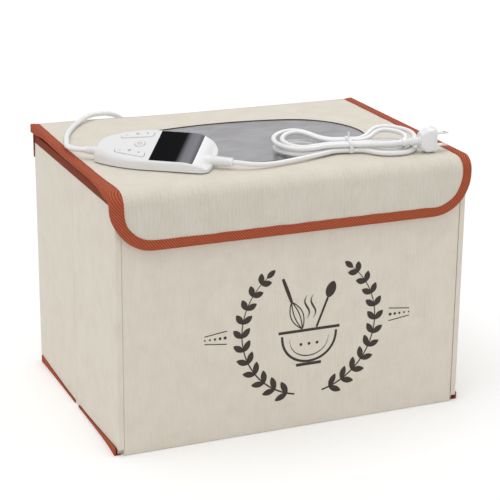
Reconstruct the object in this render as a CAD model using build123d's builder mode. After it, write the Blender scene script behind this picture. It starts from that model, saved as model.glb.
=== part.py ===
from build123d import *
import os
from math import asin, cos, pi, radians, sin, sqrt, tan

os.makedirs("parts", exist_ok=True)

# Folding dough proofer, millimetres. +X right, +Y back, +Z up, origin at the bottom centre of the box.

# ---- driving dimensions: box -------------------------------------------------------------------------
box_w = 380.0  # outside width of the box
box_d = 275.0  # outside depth of the box
lid_top = 272.0  # height of the lid's fabric top
cover_t = 1.2  # fabric cover of every panel
board_t = 2.0  # stiffener board in a wall
liner_t = 2.8  # insulated foil lining of a wall
base_board_t = 3.6  # board in a base half
fit_gap = 0.3  # running gap between pieces that move on each other

# ---- driving dimensions: fold ------------------------------------------------------------------------
crease_out = 1.5  # side crease axis, outside the side wall's outer face
corner_in = 1.0  # corner axis, inside the side wall's inner face

# ---- driving dimensions: lid and flap ----------------------------------------------------------------
lid_liner_t = 1.2
lid_foam_t = 5.6
lid_side_lap = 3.8  # lid stands past the box on each side
front_bend_r = 14.0  # outer radius of the soft front fold
flap_foam_t = 3.8
flap_drop = 59.5  # flap's lower edge, below the lid's top
flap_corner_r = 42.0
bind_t = 0.9  # edge tape
bind_edge_t = 1.0  # edge tape round a panel's edge
bind_w = 10.0
tape_t = 1.0  # hook tape and loop tape
tape_w = 220.0
tape_h = 20.0
tape_up = 14.0  # lower edge of the tapes, above the flap's lower edge
window_a = 136.0  # half width of the oval window
window_b = 83.0  # half depth
window_end_r = 76.0  # radius of its round ends
window_seam = 8.0  # film behind the fabric all round
film_t = 0.5
window_hem = 2.0

# ---- driving dimensions: heater ----------------------------------------------------------------------
pad_t = 2.5
pad_margin = 20.0  # from the side walls
pad_end_gap = 8.0  # from the front and back walls
pad_crease_gap = 4.0
wire_d = 1.2
wire_pitch = 18.0
wire_edge = 20.0
block_w = 28.0
block_d = 16.0
block_h = 9.0
lead_x = -35.0  # grommet and terminal block
lead_z = 12.0
grommet_r = 4.1
grommet_hole_r = 4.2
grommet_flange_r = 6.5
grommet_flange_t = 1.5
grommet_tail = 24.0  # from the bore's axis up to the lead's entry
grommet_body_r, grommet_end_r = 4.6, 3.5
probe_w = 5.0
probe_l = 16.0
probe_h = 2.0
probe_off = 5.0  # from the middle row of the wire

# ---- driving dimensions: handset ---------------------------------------------------------------------
hs_x, hs_y, hs_yaw = -169.6, -15.0, -36.1  # left end on the lid, and heading in degrees
hs_face_z = 19.3  # height of the face's centre line over the lid
hs_face_tilt = 18.5  # face slopes down towards the front
hs_l = 122.0
hs_half_w = 27.6
hs_full_u = 55.0  # where the full width starts
hs_curve_u, hs_curve_v = 22.0, 21.0  # on the curve from the narrow end to there
hs_tip_half, hs_tip_r = 9.0, 8.0
hs_end_half, hs_end_r = 26.6, 10.0
hs_wall = 2.0
hs_nose_r = 26.0  # roll-off of the face at the display end
hs_nose_u = 96.0  # where the roll-off starts
hs_tip_u = 14.0  # the same at the narrow end
hs_belly_v = 6.0  # the underside rises behind this line
hs_belly_rise = 14.0
lens_u0, lens_u1 = 62.4, 106.5
lens_t = 1.5
lens_half_w = 27.0
key_u0, key_u1 = 24.0, 56.0
key_inner_v, key_outer_v = 8.5, 16.5  # at the narrow end
key_flare = 6.5
key_corner_r = 3.0
key_t = 3.0
key_proud = 0.7
key_gap = 0.4
power_u, power_v, power_r = 46.0, 0.6, 5.0
mat_t = 1.0
mat_half_0, mat_half_1 = 16.0, 21.5
mat_over = 1.0  # past the keys at each end
ridge_w, ridge_l = 1.6, 5.0  # pivot under each curved key
dome_h = 0.8
dome_r = 2.6
dome_gap = 0.8  # key to dome
dome_end = 4.5  # dome's centre from the key's end
pcb_t = 1.6
pcb_u0, pcb_u1 = 20.0, 101.0
pcb_half_0, pcb_half_1 = 15.5, 22.0
module_t = 3.2
module_u0, module_u1 = 66.0, 90.0
module_half_w = 18.0
screw_r = 1.2
screw_head_r = 2.2
screw_head_t = 1.4
screw_seat = 12.0  # the head's seat, below the face
post_r = 3.4
screw_places = [(31.0, 0.0), (94.0, -14.0), (94.0, 14.0)]
lead_relief_z = 9.5  # over the lid
lead_relief_r, lead_relief_end_r, lead_relief_l = 4.6, 3.5, 11.0
lead_neck_r, lead_flange_r, lead_flange_t = 3.9, 4.6, 1.5
mains_relief_z = 7.3
mains_relief_r, mains_relief_end_r, mains_relief_l = 5.6, 4.4, 23.5
mains_relief_in, mains_relief_plain = 9.5, 5.5  # held inside the handset, and its part without grooves
port_gap = 0.1
rib_depth, rib_pitch, rib_share = 0.7, 2.6, 0.4

# ---- driving dimensions: cords -----------------------------------------------------------------------
lead_d = 5.5
mains_d = 5.0
cord_share = 0.45  # of the shorter run, taken by each bend
lie_gap = 0.1
layer_gap = 0.6  # between the two layers of the hank
waist_half, climb_half = 6.0, 14.0  # straight strands each side of the tie
lobe_slope = 7.0 / 6.0  # growth of the loops with their row at the waist
right_loop_r, right_loop_out = (14.0, 11.5), 39.0  # lower and upper layer, and distance from the tie
left_loop_r, left_loop_out = (15.5, 10.0), 47.0
entry_r, entry_turn = 33.0, 35.0
exit_reach, exit_run = 11.5, 12.5  # first bend past the tie, and last bend before the plug
exit_shares = (6.5, 7.0)  # length that each of these bends takes
tie_t, tie_w, tie_ear_r, tie_ear_h = 0.6, 3.6, 1.0, 7.0
strand_step = 6.0  # between neighbours at the hank's waist
hank_x, hank_y, hank_yaw = 85.0, -69.9, -15.0
plug_block_l, plug_block_h, plug_block_w = 8.0, 24.5, 14.0
plug_flange_t, plug_flange_over = 1.8, 0.8
plug_taper_l, plug_taper_h, plug_taper_w = 7.0, 16.0, 11.0
plug_relief_l, plug_relief_r, plug_relief_end_r = 20.0, 4.2, 3.4
blade_l, blade_w, blade_t, blade_step = 16.0, 6.35, 1.5, 12.7
blade_root = 4.0
blade_hole_in = 4.0  # hole from the blade's end
plug_x, plug_y = 163.4, -108.3  # flange's outer face on the lid

# ---- worked out from the above -----------------------------------------------------------------------
wall_t = cover_t + board_t + liner_t
base_t = base_board_t + 2 * cover_t
lid_t = lid_liner_t + lid_foam_t + cover_t
flap_t = flap_foam_t + cover_t
lid_under = lid_top - lid_t
wall_top = lid_under - fit_gap
tape_gap = 2 * tape_t + fit_gap  # flap's inner face to the front wall
flap_out = tape_gap + flap_t
mid_y = (flap_out + bind_t) / 2  # the box stands this far back, so that the whole object is centred
back_y = mid_y + box_d / 2
front_y = mid_y - box_d / 2
side_x = box_w / 2
inner_back = back_y - wall_t
inner_front = front_y + wall_t
inner_x = side_x - wall_t
spine_y = wall_t  # base crease axes, each side of the middle
wall_h = wall_top
side_foot = base_t + fit_gap
side_h = wall_top - side_foot
lid_half = side_x + lid_side_lap - bind_edge_t
flap_face = front_y - flap_out  # flap's outer face
bend_z = lid_top - front_bend_r
bend_y = flap_face + front_bend_r
flap_top = bend_z - fit_gap
flap_bottom = lid_top - flap_drop


def save(piece, name):
    """Label a finished piece and write its file."""
    piece.part.label = name
    export_step(piece.part, f"parts/{name}.step")


# ---- walls: cover folded over board and lining ---------------------------------------------------------
def wall_panel(name, inner_face, width, height, bore=None):
    """Three pieces on the plane of the panel's inner face: x along it, y up, z outwards."""
    mid = height / 2
    with BuildPart() as liner:
        with BuildSketch(inner_face):
            with Locations((0, mid)):
                Rectangle(width, height - 2 * cover_t)
        extrude(amount=liner_t)
        if bore:
            add(bore.part, mode=Mode.SUBTRACT)
    save(liner, f"{name}_liner")
    with BuildPart() as board:
        with BuildSketch(inner_face.offset(liner_t)):
            with Locations((0, mid)):
                Rectangle(width, height - 2 * cover_t)
        extrude(amount=board_t)
        if bore:
            add(bore.part, mode=Mode.SUBTRACT)
    save(board, f"{name}_board")
    with BuildPart() as cover:
        with BuildSketch(inner_face.offset(liner_t + board_t)):
            with Locations((0, mid)):
                Rectangle(width, height)
        extrude(amount=cover_t)
        with BuildSketch(inner_face):
            with Locations((0, cover_t / 2), (0, height - cover_t / 2)):
                Rectangle(width, cover_t)
        extrude(amount=liner_t + board_t)
        if bore:
            add(bore.part, mode=Mode.SUBTRACT)
    save(cover, f"{name}_cover")


with BuildPart() as lead_bore:
    with BuildSketch(Plane((lead_x, inner_back, lead_z), x_dir=(1, 0, 0), z_dir=(0, 1, 0))):
        Circle(grommet_hole_r)
    extrude(amount=wall_t)

cross_w = 2 * (inner_x - fit_gap)
wall_panel("front", Plane((0, inner_front, 0), x_dir=(1, 0, 0), z_dir=(0, -1, 0)), cross_w, wall_h)
back_face = Plane((0, inner_back, 0), x_dir=(-1, 0, 0), z_dir=(0, 1, 0))
wall_panel("back", back_face, cross_w, wall_h, bore=lead_bore)
half_d = box_d / 2 - fit_gap / 2
for side, sign in (("left", -1), ("right", 1)):
    for half, end in (("rear", 1), ("front", -1)):
        centre = mid_y + end * (fit_gap / 2 + half_d / 2)
        face = Plane((sign * inner_x, centre, side_foot), x_dir=(0, sign, 0), z_dir=(sign, 0, 0))
        wall_panel(f"{side}_{half}", face, half_d, side_h)


# ---- base: two halves with a crease strip between them -------------------------------------------------
with BuildPart() as base_crease:
    with BuildSketch():
        with Locations((0, mid_y)):
            Rectangle(box_w, 2 * spine_y - fit_gap)
    extrude(amount=base_t)
save(base_crease, "base_crease")

base_near = spine_y + fit_gap / 2
base_far = box_d / 2 - wall_t - fit_gap
base_mid = (base_near + base_far) / 2
base_l = base_far - base_near
for half, end in (("rear", 1), ("front", -1)):
    cross = Plane((-side_x + bind_edge_t, mid_y + end * base_mid, base_t / 2), x_dir=(0, 1, 0), z_dir=(1, 0, 0))
    sleeve_w = box_w - 2 * bind_edge_t
    with BuildPart() as sleeve:
        with BuildSketch(cross):
            Rectangle(base_l, base_t)
            Rectangle(base_l - 2 * cover_t, base_board_t, mode=Mode.SUBTRACT)
        extrude(amount=sleeve_w)
    save(sleeve, f"base_{half}_cover")
    with BuildPart() as board:
        with BuildSketch(cross):
            Rectangle(base_l - 2 * cover_t, base_board_t)
        extrude(amount=sleeve_w)
    save(board, f"base_{half}_board")
    with BuildPart() as binding:
        with BuildSketch():
            with Locations(*[(sign * side_x, mid_y + end * base_mid) for sign in (-1, 1)]):
                Rectangle(2 * bind_edge_t, base_l)
        extrude(amount=base_t)
    save(binding, f"base_{half}_binding")


# ---- heating pads ----------------------------------------------------------------------------------------
pad_near = base_near + pad_crease_gap
pad_far = base_far - pad_end_gap
pad_w = 2 * (inner_x - pad_margin)
wire_rows = int((pad_far - pad_near - 2 * wire_edge) / wire_pitch) + 1
probe_y = mid_y - pad_near - wire_edge - wire_rows // 2 * wire_pitch - probe_off


def wire_route(end):
    """Corner points of the zigzag heating wire, from the crease outwards."""
    reach = pad_w / 2 - wire_edge
    points = []
    for row in range(wire_rows):
        y = mid_y + end * (pad_near + wire_edge + row * wire_pitch)
        turn = 1 if row % 2 == 0 else -1
        points += [(-turn * reach, y), (turn * reach, y)]
    return points


for half, end in (("rear", 1), ("front", -1)):
    with BuildPart() as wire:
        with BuildLine(Plane.XY.offset(base_t + pad_t / 2)) as route:
            corners = wire_route(end)
            FilletPolyline(corners, radius=wire_pitch / 2 - wire_d)
        start = route.wire() @ 0
        with BuildSketch(Plane(start, z_dir=route.wire() % 0)):
            Circle(wire_d / 2)
        sweep(path=route.wire())
    save(wire, f"heating_wire_{half}")
    with BuildPart() as pad:
        with BuildSketch(Plane.XY.offset(base_t)):
            with Locations((0, mid_y + end * (pad_near + pad_far) / 2)):
                RectangleRounded(pad_w, pad_far - pad_near, wire_edge / 2)
        extrude(amount=pad_t)
        if half == "rear":
            with BuildSketch(Plane.XY.offset(base_t)):
                with Locations((lead_x, mid_y + base_far - block_d / 2)):
                    RectangleRounded(block_w, block_d, cover_t)
            extrude(amount=block_h)
        else:
            with BuildSketch(Plane.XY.offset(base_t + pad_t - probe_h)):
                with Locations((0, probe_y)):
                    Rectangle(probe_l, probe_w)
            extrude(amount=probe_h, mode=Mode.SUBTRACT)
        add(wire.part, mode=Mode.SUBTRACT)
    save(pad, f"heating_pad_{half}")

with BuildPart() as probe:
    with BuildSketch(Plane.XY.offset(base_t + pad_t - probe_h)):
        with Locations((0, probe_y)):
            Rectangle(probe_l, probe_w)
    extrude(amount=probe_h)
    fillet(probe.edges().filter_by(Axis.Z), probe_w / 4)
save(probe, "temperature_probe")


# ---- lid: cover over foam over lining, bent down softly at the front -----------------------------------
def bent_face(top, flap_depth, under, x):
    """Lid section on the plane at x: top surface raised by top, closed below at the height under."""
    outer = front_bend_r + top
    inner = front_bend_r - flap_depth
    inner_end = bend_y - sqrt(inner**2 - (under - bend_z) ** 2)
    half_way = asin((under - bend_z) / inner) / 2
    with BuildSketch(Plane((x, 0, 0), x_dir=(0, 1, 0), z_dir=(1, 0, 0))) as face:
        with BuildLine():
            Line((back_y, lid_top + top), (bend_y, lid_top + top))
            ThreePointArc(
                (bend_y, bend_z + outer),
                (bend_y - outer * cos(pi / 4), bend_z + outer * sin(pi / 4)),
                (bend_y - outer, bend_z),
            )
            Line((bend_y - outer, bend_z), (bend_y - inner, bend_z))
            ThreePointArc(
                (bend_y - inner, bend_z),
                (bend_y - inner * cos(half_way), bend_z + inner * sin(half_way)),
                (inner_end, under),
            )
            Line((inner_end, under), (back_y, under))
            Line((back_y, under), (back_y, lid_top + top))
        make_face()
    return face


def bent_band(top, depth, x):
    """Strip of even thickness that follows the lid's top and front bend."""
    outer = front_bend_r + top
    inner = front_bend_r - depth
    with BuildSketch(Plane((x, 0, 0), x_dir=(0, 1, 0), z_dir=(1, 0, 0))) as band:
        with BuildLine():
            Line((back_y, bend_z + outer), (bend_y, bend_z + outer))
            ThreePointArc(
                (bend_y, bend_z + outer),
                (bend_y - outer * cos(pi / 4), bend_z + outer * sin(pi / 4)),
                (bend_y - outer, bend_z),
            )
            Line((bend_y - outer, bend_z), (bend_y - inner, bend_z))
            ThreePointArc(
                (bend_y - inner, bend_z),
                (bend_y - inner * cos(pi / 4), bend_z + inner * sin(pi / 4)),
                (bend_y, bend_z + inner),
            )
            Line((bend_y, bend_z + inner), (back_y, bend_z + inner))
            Line((back_y, bend_z + inner), (back_y, bend_z + outer))
        make_face()
    return band


def oval(grow, z):
    """The window's outline, grown on all sides, on the plane at height z."""
    side_r = ((window_a - window_end_r) ** 2 + window_b**2 - window_end_r**2) / (2 * (window_b - window_end_r))
    end_x = window_a - window_end_r
    side_y = window_b - side_r
    reach = (side_r + grow) / (side_r - window_end_r)
    tx, ty = end_x * reach, side_y - side_y * reach
    with BuildSketch(Plane((0, mid_y, z))) as outline:
        with BuildLine():
            ThreePointArc((-tx, ty), (0, window_b + grow), (tx, ty))
            ThreePointArc((tx, ty), (window_a + grow, 0), (tx, -ty))
            ThreePointArc((tx, -ty), (0, -window_b - grow), (-tx, -ty))
            ThreePointArc((-tx, -ty), (-window_a - grow, 0), (-tx, ty))
        make_face()
    return outline


film_z = lid_top - cover_t - film_t
with BuildPart() as lid_cover:
    extrude(bent_band(0, cover_t, -lid_half).sketch, amount=2 * lid_half)
    extrude(oval(0, lid_top - cover_t).sketch, amount=cover_t, mode=Mode.SUBTRACT)
save(lid_cover, "lid_cover")

with BuildPart() as lid_foam:
    extrude(bent_face(-cover_t, flap_t, lid_under + lid_liner_t, -lid_half).sketch, amount=2 * lid_half)
    extrude(oval(window_seam + fit_gap, lid_under).sketch, amount=lid_t, mode=Mode.SUBTRACT)
save(lid_foam, "lid_foam")

liner_front = bend_y - sqrt((front_bend_r - flap_t) ** 2 - (lid_under + lid_liner_t - bend_z) ** 2)
with BuildPart() as lid_liner:
    with BuildSketch(Plane.XY.offset(lid_under)):
        with Locations((0, (back_y + liner_front) / 2)):
            Rectangle(2 * lid_half, back_y - liner_front)
    extrude(amount=lid_liner_t)
    extrude(oval(window_hem, lid_under).sketch, amount=lid_liner_t, mode=Mode.SUBTRACT)
save(lid_liner, "lid_liner")

with BuildPart() as window_film:
    extrude(oval(window_seam, film_z).sketch, amount=film_t)
save(window_film, "window_film")

bind_top = bind_w - bind_edge_t
with BuildPart() as lid_binding:
    for sign in (-1, 1):
        strip_x = lid_half - bind_top if sign > 0 else -lid_half
        plate_x = lid_half if sign > 0 else -lid_half - bind_edge_t
        extrude(bent_band(bind_t, 0, strip_x).sketch, amount=bind_top)
        extrude(bent_face(bind_t, flap_t, lid_under, plate_x).sketch, amount=bind_edge_t)
save(lid_binding, "lid_binding")


# ---- flap over the front wall ----------------------------------------------------------------------------
flap_plane = Plane((0, flap_face, 0), x_dir=(1, 0, 0), z_dir=(0, -1, 0))


def flap_outline(grow, depth=0):
    """The flap's outline, grown at its sides and lower edge, at a depth behind its outer face."""
    low = flap_bottom + bind_edge_t - grow
    with BuildSketch(flap_plane.offset(-depth)) as outline:
        with Locations((0, (low + flap_top) / 2)):
            Rectangle(2 * (lid_half + grow), flap_top - low)
        fillet(outline.vertices().group_by(Axis.Y)[0], flap_corner_r - bind_edge_t + grow)
    return outline


with BuildPart() as flap_cover:
    extrude(flap_outline(0).sketch, amount=-cover_t)
save(flap_cover, "flap_cover")

with BuildPart() as flap_foam:
    extrude(flap_outline(0, cover_t).sketch, amount=-flap_foam_t)
save(flap_foam, "flap_foam")

with BuildPart() as flap_binding:
    extrude(flap_outline(bind_edge_t).sketch, amount=bind_t)
    extrude(flap_outline(-bind_top).sketch, amount=bind_t, mode=Mode.SUBTRACT)
    extrude(flap_outline(bind_edge_t).sketch, amount=-flap_t)
    extrude(flap_outline(0).sketch, amount=-flap_t, mode=Mode.SUBTRACT)
save(flap_binding, "flap_binding")

tape_z = flap_bottom + tape_up + tape_h / 2
with BuildPart() as flap_hook_tape:
    with BuildSketch(flap_plane.offset(-flap_t)):
        with Locations((0, tape_z)):
            Rectangle(tape_w, tape_h)
    extrude(amount=-tape_t)
save(flap_hook_tape, "flap_hook_tape")

with BuildPart() as front_loop_tape:
    with BuildSketch(Plane((0, front_y, 0), x_dir=(1, 0, 0), z_dir=(0, -1, 0))):
        with Locations((0, tape_z)):
            Rectangle(tape_w, tape_h)
    extrude(amount=tape_t)
save(front_loop_tape, "front_loop_tape")


# ---- handset: a wedge of two shells whose face slopes to the front -----------------------------------------
yaw, tilt = radians(hs_yaw), radians(hs_face_tilt)
along = Vector(cos(yaw), sin(yaw), 0)
across = Vector(-sin(yaw), cos(yaw), 0)
hs_base = Plane((hs_x, hs_y, lid_top), x_dir=along, z_dir=(0, 0, 1))
face_normal = Vector(0, 0, 1) * cos(tilt) - across * sin(tilt)
hs_face = Plane((hs_x, hs_y, lid_top + hs_face_z), x_dir=along, z_dir=face_normal)
hs_big = 60.0  # reaches past the handset every way


def handset_block(inset):
    """The handset's outer form, moved inwards by inset on every side."""
    with BuildPart() as block:
        with BuildSketch(hs_base.offset(inset)) as outline:
            with BuildLine():
                Line((inset, inset - hs_tip_half), (inset, hs_tip_half - inset))
                for sign in (-1, 1):
                    full = (hs_full_u, sign * (hs_half_w - inset))
                    on_curve = (hs_curve_u, sign * (hs_curve_v - inset))
                    ThreePointArc((inset, sign * (hs_tip_half - inset)), on_curve, full)
                    Line(full, (hs_l - inset, sign * (hs_end_half - inset)))
                Line((hs_l - inset, inset - hs_end_half), (hs_l - inset, hs_end_half - inset))
            make_face()
            fillet(outline.vertices().group_by(Axis.X)[0], hs_tip_r - inset)
            fillet(outline.vertices().group_by(Axis.X)[-1], hs_end_r - inset)
        extrude(amount=hs_big)
        with BuildSketch(Plane(hs_base.origin, x_dir=across, z_dir=along)):
            with BuildLine():
                Polyline(
                    (-hs_half_w + inset, inset),
                    (hs_belly_v, inset),
                    (hs_half_w - inset, hs_belly_rise + inset),
                    (hs_half_w - inset, hs_big),
                    (-hs_half_w + inset, hs_big),
                    close=True,
                )
            make_face()
        extrude(amount=hs_l, mode=Mode.INTERSECT)
        low = inset - hs_big
        roll = hs_nose_r - inset
        with BuildSketch(Plane(hs_face.origin, x_dir=along, z_dir=-hs_face.y_dir)):
            with BuildLine():
                Line((hs_tip_u - roll, low), (hs_tip_u - roll, -hs_nose_r))
                RadiusArc((hs_tip_u - roll, -hs_nose_r), (hs_tip_u, -inset), roll)
                Line((hs_tip_u, -inset), (hs_nose_u, -inset))
                RadiusArc((hs_nose_u, -inset), (hs_nose_u + roll, -hs_nose_r), roll)
                Line((hs_nose_u + roll, -hs_nose_r), (hs_nose_u + roll, low))
                Line((hs_nose_u + roll, low), (hs_tip_u - roll, low))
            make_face()
        extrude(amount=hs_big, both=True, mode=Mode.INTERSECT)
    return block


hs_outer = handset_block(0)
hs_inner = handset_block(hs_wall)
key_low = key_proud - key_t  # underside of the keys, from the face
mat_top = key_low - dome_gap - dome_h
pcb_top = mat_top - mat_t
hs_split = pcb_top - pcb_t  # the parting plane, at the board's underside


def round_bar(start, heading, length, r):
    """Plain round bar from a point, for bores and cuts."""
    with BuildPart() as bar:
        with BuildSketch(Plane(start, z_dir=heading)):
            Circle(r)
        extrude(amount=length)
    return bar


lead_exit = hs_base.origin + Vector(0, 0, lead_relief_z)
lead_port = round_bar(lead_exit - along, along, hs_wall + 2, lead_neck_r + port_gap)
mains_seat = hs_base.origin + along * (hs_l - mains_relief_in) + Vector(0, 0, mains_relief_z)
mains_port = round_bar(mains_seat - along * fit_gap, along, hs_big, mains_relief_r + port_gap)


def key_outline(sign, shrink, level):
    """One curved key's outline on the face plane at a level, for the far (1) or near (-1) key."""
    with BuildSketch(hs_face.offset(level)) as outline:
        with BuildLine():
            Polyline(
                (key_u0, sign * key_inner_v),
                (key_u1, sign * (key_inner_v + key_flare)),
                (key_u1, sign * (key_outer_v + key_flare)),
                (key_u0, sign * key_outer_v),
                close=True,
            )
        make_face()
        fillet(outline.vertices(), key_corner_r)
        if shrink:
            offset(amount=-shrink, mode=Mode.REPLACE)
    return outline


with BuildPart() as display_lens:
    add(hs_outer.part)
    add(handset_block(lens_t).part, mode=Mode.SUBTRACT)
    with BuildSketch(hs_face.offset(-hs_big)):
        with Locations(((lens_u0 + lens_u1) / 2, 0)):
            Rectangle(lens_u1 - lens_u0, 2 * lens_half_w)
    extrude(amount=2 * hs_big, mode=Mode.INTERSECT)
    split(bisect_by=hs_face.offset(hs_split), keep=Keep.TOP)
save(display_lens, "display_lens")

with BuildPart() as handset_lower_shell:
    with BuildSketch(hs_face.offset(-hs_big)):
        with Locations(*screw_places):
            Circle(post_r)
    extrude(amount=2 * hs_big)
    add(hs_outer.part, mode=Mode.INTERSECT)
    add(hs_outer.part - hs_inner.part)
    with BuildSketch(hs_face.offset(-hs_big)):
        with Locations(*screw_places):
            Circle(screw_r)
    extrude(amount=2 * hs_big, mode=Mode.SUBTRACT)
    with BuildSketch(hs_face.offset(-screw_seat)):
        with Locations(*screw_places):
            Circle(screw_head_r)
    extrude(amount=-hs_big, mode=Mode.SUBTRACT)
    add(lead_port.part, mode=Mode.SUBTRACT)
    add(mains_port.part, mode=Mode.SUBTRACT)
    split(bisect_by=hs_face.offset(hs_split), keep=Keep.BOTTOM)
save(handset_lower_shell, "handset_lower_shell")

with BuildPart() as handset_upper_shell:
    with BuildSketch(hs_face.offset(pcb_top)):
        with Locations(*screw_places):
            Circle(post_r)
    extrude(amount=hs_big)
    add(hs_outer.part, mode=Mode.INTERSECT)
    add(hs_outer.part - hs_inner.part)
    split(bisect_by=hs_face.offset(hs_split), keep=Keep.TOP)
    with BuildSketch(hs_face.offset(hs_split)):
        with Locations(*screw_places):
            Circle(screw_r)
    extrude(amount=-hs_split - hs_wall, mode=Mode.SUBTRACT)
    add(display_lens.part, mode=Mode.SUBTRACT)
    add(lead_port.part, mode=Mode.SUBTRACT)
    add(mains_port.part, mode=Mode.SUBTRACT)
    with BuildSketch(hs_face.offset(-hs_wall - 1)):
        with Locations(((module_u0 + module_u1) / 2, 0)):
            Rectangle(module_u1 - module_u0, 2 * module_half_w)
    extrude(amount=hs_big, mode=Mode.SUBTRACT)
    for sign in (-1, 1):
        extrude(key_outline(sign, 0, key_low).sketch, amount=hs_big, mode=Mode.SUBTRACT)
    with BuildSketch(hs_face.offset(key_low)):
        with Locations((power_u, power_v)):
            Circle(power_r + key_gap)
    extrude(amount=hs_big, mode=Mode.SUBTRACT)
save(handset_upper_shell, "handset_upper_shell")

for sign, name in ((1, "upper_key"), (-1, "lower_key")):
    with BuildPart() as key:
        extrude(key_outline(sign, key_gap, key_low).sketch, amount=key_t)
    save(key, name)

with BuildPart() as power_key:
    with BuildSketch(hs_face.offset(key_low)):
        with Locations((power_u, power_v)):
            Circle(power_r)
    extrude(amount=key_t)
save(power_key, "power_key")

with BuildPart() as display_module:
    with BuildSketch(hs_face.offset(-lens_t)):
        with Locations(((module_u0 + module_u1) / 2, 0)):
            Rectangle(module_u1 - module_u0 - fit_gap, 2 * module_half_w - fit_gap)
    extrude(amount=-module_t)
save(display_module, "display_module")

with BuildPart() as circuit_board:
    with BuildSketch(hs_face.offset(hs_split)):
        with BuildLine():
            Polyline(
                (pcb_u0, -pcb_half_0),
                (key_u1, -pcb_half_1),
                (pcb_u1, -pcb_half_1),
                (pcb_u1, pcb_half_1),
                (key_u1, pcb_half_1),
                (pcb_u0, pcb_half_0),
                close=True,
            )
        make_face()
        with Locations(*screw_places):
            Circle(screw_r, mode=Mode.SUBTRACT)
    extrude(amount=pcb_t)
save(circuit_board, "circuit_board")

key_mid_u = (key_u0 + key_u1) / 2
key_mid_v = (key_inner_v + key_outer_v + key_flare) / 2
slope = key_flare / (key_u1 - key_u0)
dome_places = [(power_u, power_v)]
for sign in (-1, 1):
    for u in (key_u0 + dome_end, key_u1 - dome_end):
        dome_places.append((u, sign * (key_mid_v + slope * (u - key_mid_u))))
mat_u0, mat_u1 = key_u0 - mat_over, key_u1 + mat_over
with BuildPart() as key_mat:
    with BuildSketch(hs_face.offset(pcb_top)):
        with BuildLine():
            Polyline(
                (mat_u0, -mat_half_0),
                (mat_u1, -mat_half_1),
                (mat_u1, mat_half_1),
                (mat_u0, mat_half_0),
                close=True,
            )
        make_face()
        with Locations(*screw_places):
            Circle(post_r + fit_gap, mode=Mode.SUBTRACT)
    extrude(amount=mat_t)
    with BuildSketch(hs_face.offset(mat_top)):
        with Locations(*dome_places):
            Circle(dome_r)
    extrude(amount=dome_h)
    with BuildSketch(hs_face.offset(mat_top)):
        with Locations((key_mid_u, key_mid_v), (key_mid_u, -key_mid_v)):
            Rectangle(ridge_w, ridge_l)
    extrude(amount=key_low - fit_gap - mat_top)
save(key_mat, "key_mat")

with BuildPart() as handset_screws:
    with BuildSketch(hs_face.offset(-screw_seat)):
        with Locations(*screw_places):
            Circle(screw_head_r)
    extrude(amount=-screw_head_t)
    with BuildSketch(hs_face.offset(-screw_seat)):
        with Locations(*screw_places):
            Circle(screw_r)
    extrude(amount=screw_seat - hs_wall)
save(handset_screws, "handset_screws")


# ---- strain reliefs: tapered, with grooves -----------------------------------------------------------------
def ribbed_taper(start, heading, inner_profile, length, r0, r1):
    """Round body of revolution: a profile inside the housing, then a grooved taper along the heading."""
    side = Vector(0, 1, 0) if abs(heading.Z) > 0.5 else Vector(0, 0, 1).cross(heading)
    with BuildPart() as taper:
        with BuildSketch(Plane(start, x_dir=heading, z_dir=-side)):
            with BuildLine():
                Polyline(*inner_profile, (0, r0), (length, r1), (length, 0), inner_profile[0])
            make_face()
            grooves = int((length - 2 * rib_pitch) / rib_pitch) + 1
            for groove in range(grooves):
                x = rib_pitch * (groove + 1)
                with Locations((x, r0 + (r1 - r0) * x / length)):
                    Rectangle(rib_pitch * rib_share, 2 * rib_depth, mode=Mode.SUBTRACT)
        revolve(axis=Axis(start, heading))
    return taper


lead_inner = [
    (-hs_wall - lead_flange_t - port_gap, 0),
    (-hs_wall - lead_flange_t - port_gap, lead_flange_r),
    (-hs_wall - port_gap, lead_flange_r),
    (-hs_wall - port_gap, lead_neck_r),
    (0, lead_neck_r),
]
lead_relief = ribbed_taper(lead_exit, -along, lead_inner, lead_relief_l, lead_relief_r, lead_relief_end_r)
save(lead_relief, "lead_relief")

mains_inner = [(-mains_relief_plain, 0), (-mains_relief_plain, mains_relief_r)]
mains_exit = mains_seat + along * mains_relief_plain
mains_relief = ribbed_taper(mains_exit, along, mains_inner, mains_relief_l, mains_relief_r, mains_relief_end_r)
save(mains_relief, "mains_relief")

elbow_y = back_y + grommet_flange_t + grommet_body_r
elbow = Vector(lead_x, elbow_y, lead_z)
with BuildPart() as lead_grommet:
    add(ribbed_taper(elbow, Vector(0, 0, 1), [(0, 0)], grommet_tail, grommet_body_r, grommet_end_r).part)
    with Locations(elbow):
        Sphere(grommet_body_r)
    add(round_bar(elbow, Vector(0, -1, 0), grommet_body_r + grommet_flange_t, grommet_body_r).part)
    add(round_bar((lead_x, back_y, lead_z), Vector(0, 1, 0), grommet_flange_t, grommet_flange_r).part)
    add(round_bar((lead_x, inner_back, lead_z), Vector(0, 1, 0), wall_t, grommet_r).part)
save(lead_grommet, "lead_grommet")


# ---- cords: straight runs joined by tangent arcs -------------------------------------------------------------
def cord_tube(name, points, d):
    """Round tube along a hand-chosen route; prints its least bend, length and volume against its section."""
    spots = [Vector(*point) for point in points]
    runs = [b - a for a, b in zip(spots, spots[1:])]
    radii = []
    for before, after in zip(runs, runs[1:]):
        turn = radians(before.get_angle(after))
        radii.append(cord_share * min(before.length, after.length) / tan(turn / 2))
    with BuildPart() as cord:
        with BuildLine() as route:
            FilletPolyline(*spots, radius=radii)
        with BuildSketch(Plane(route.wire() @ 0, z_dir=route.wire() % 0)):
            Circle(d / 2)
        sweep(path=route.wire())
    length = route.wire().length
    print(name, "bends", [round(r / d, 1) for r in radii], "diameters, length", round(length, 1))
    print(name, "volume share", round(cord.part.volume / (pi * d**2 / 4 * length), 4))
    save(cord, name)


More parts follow.
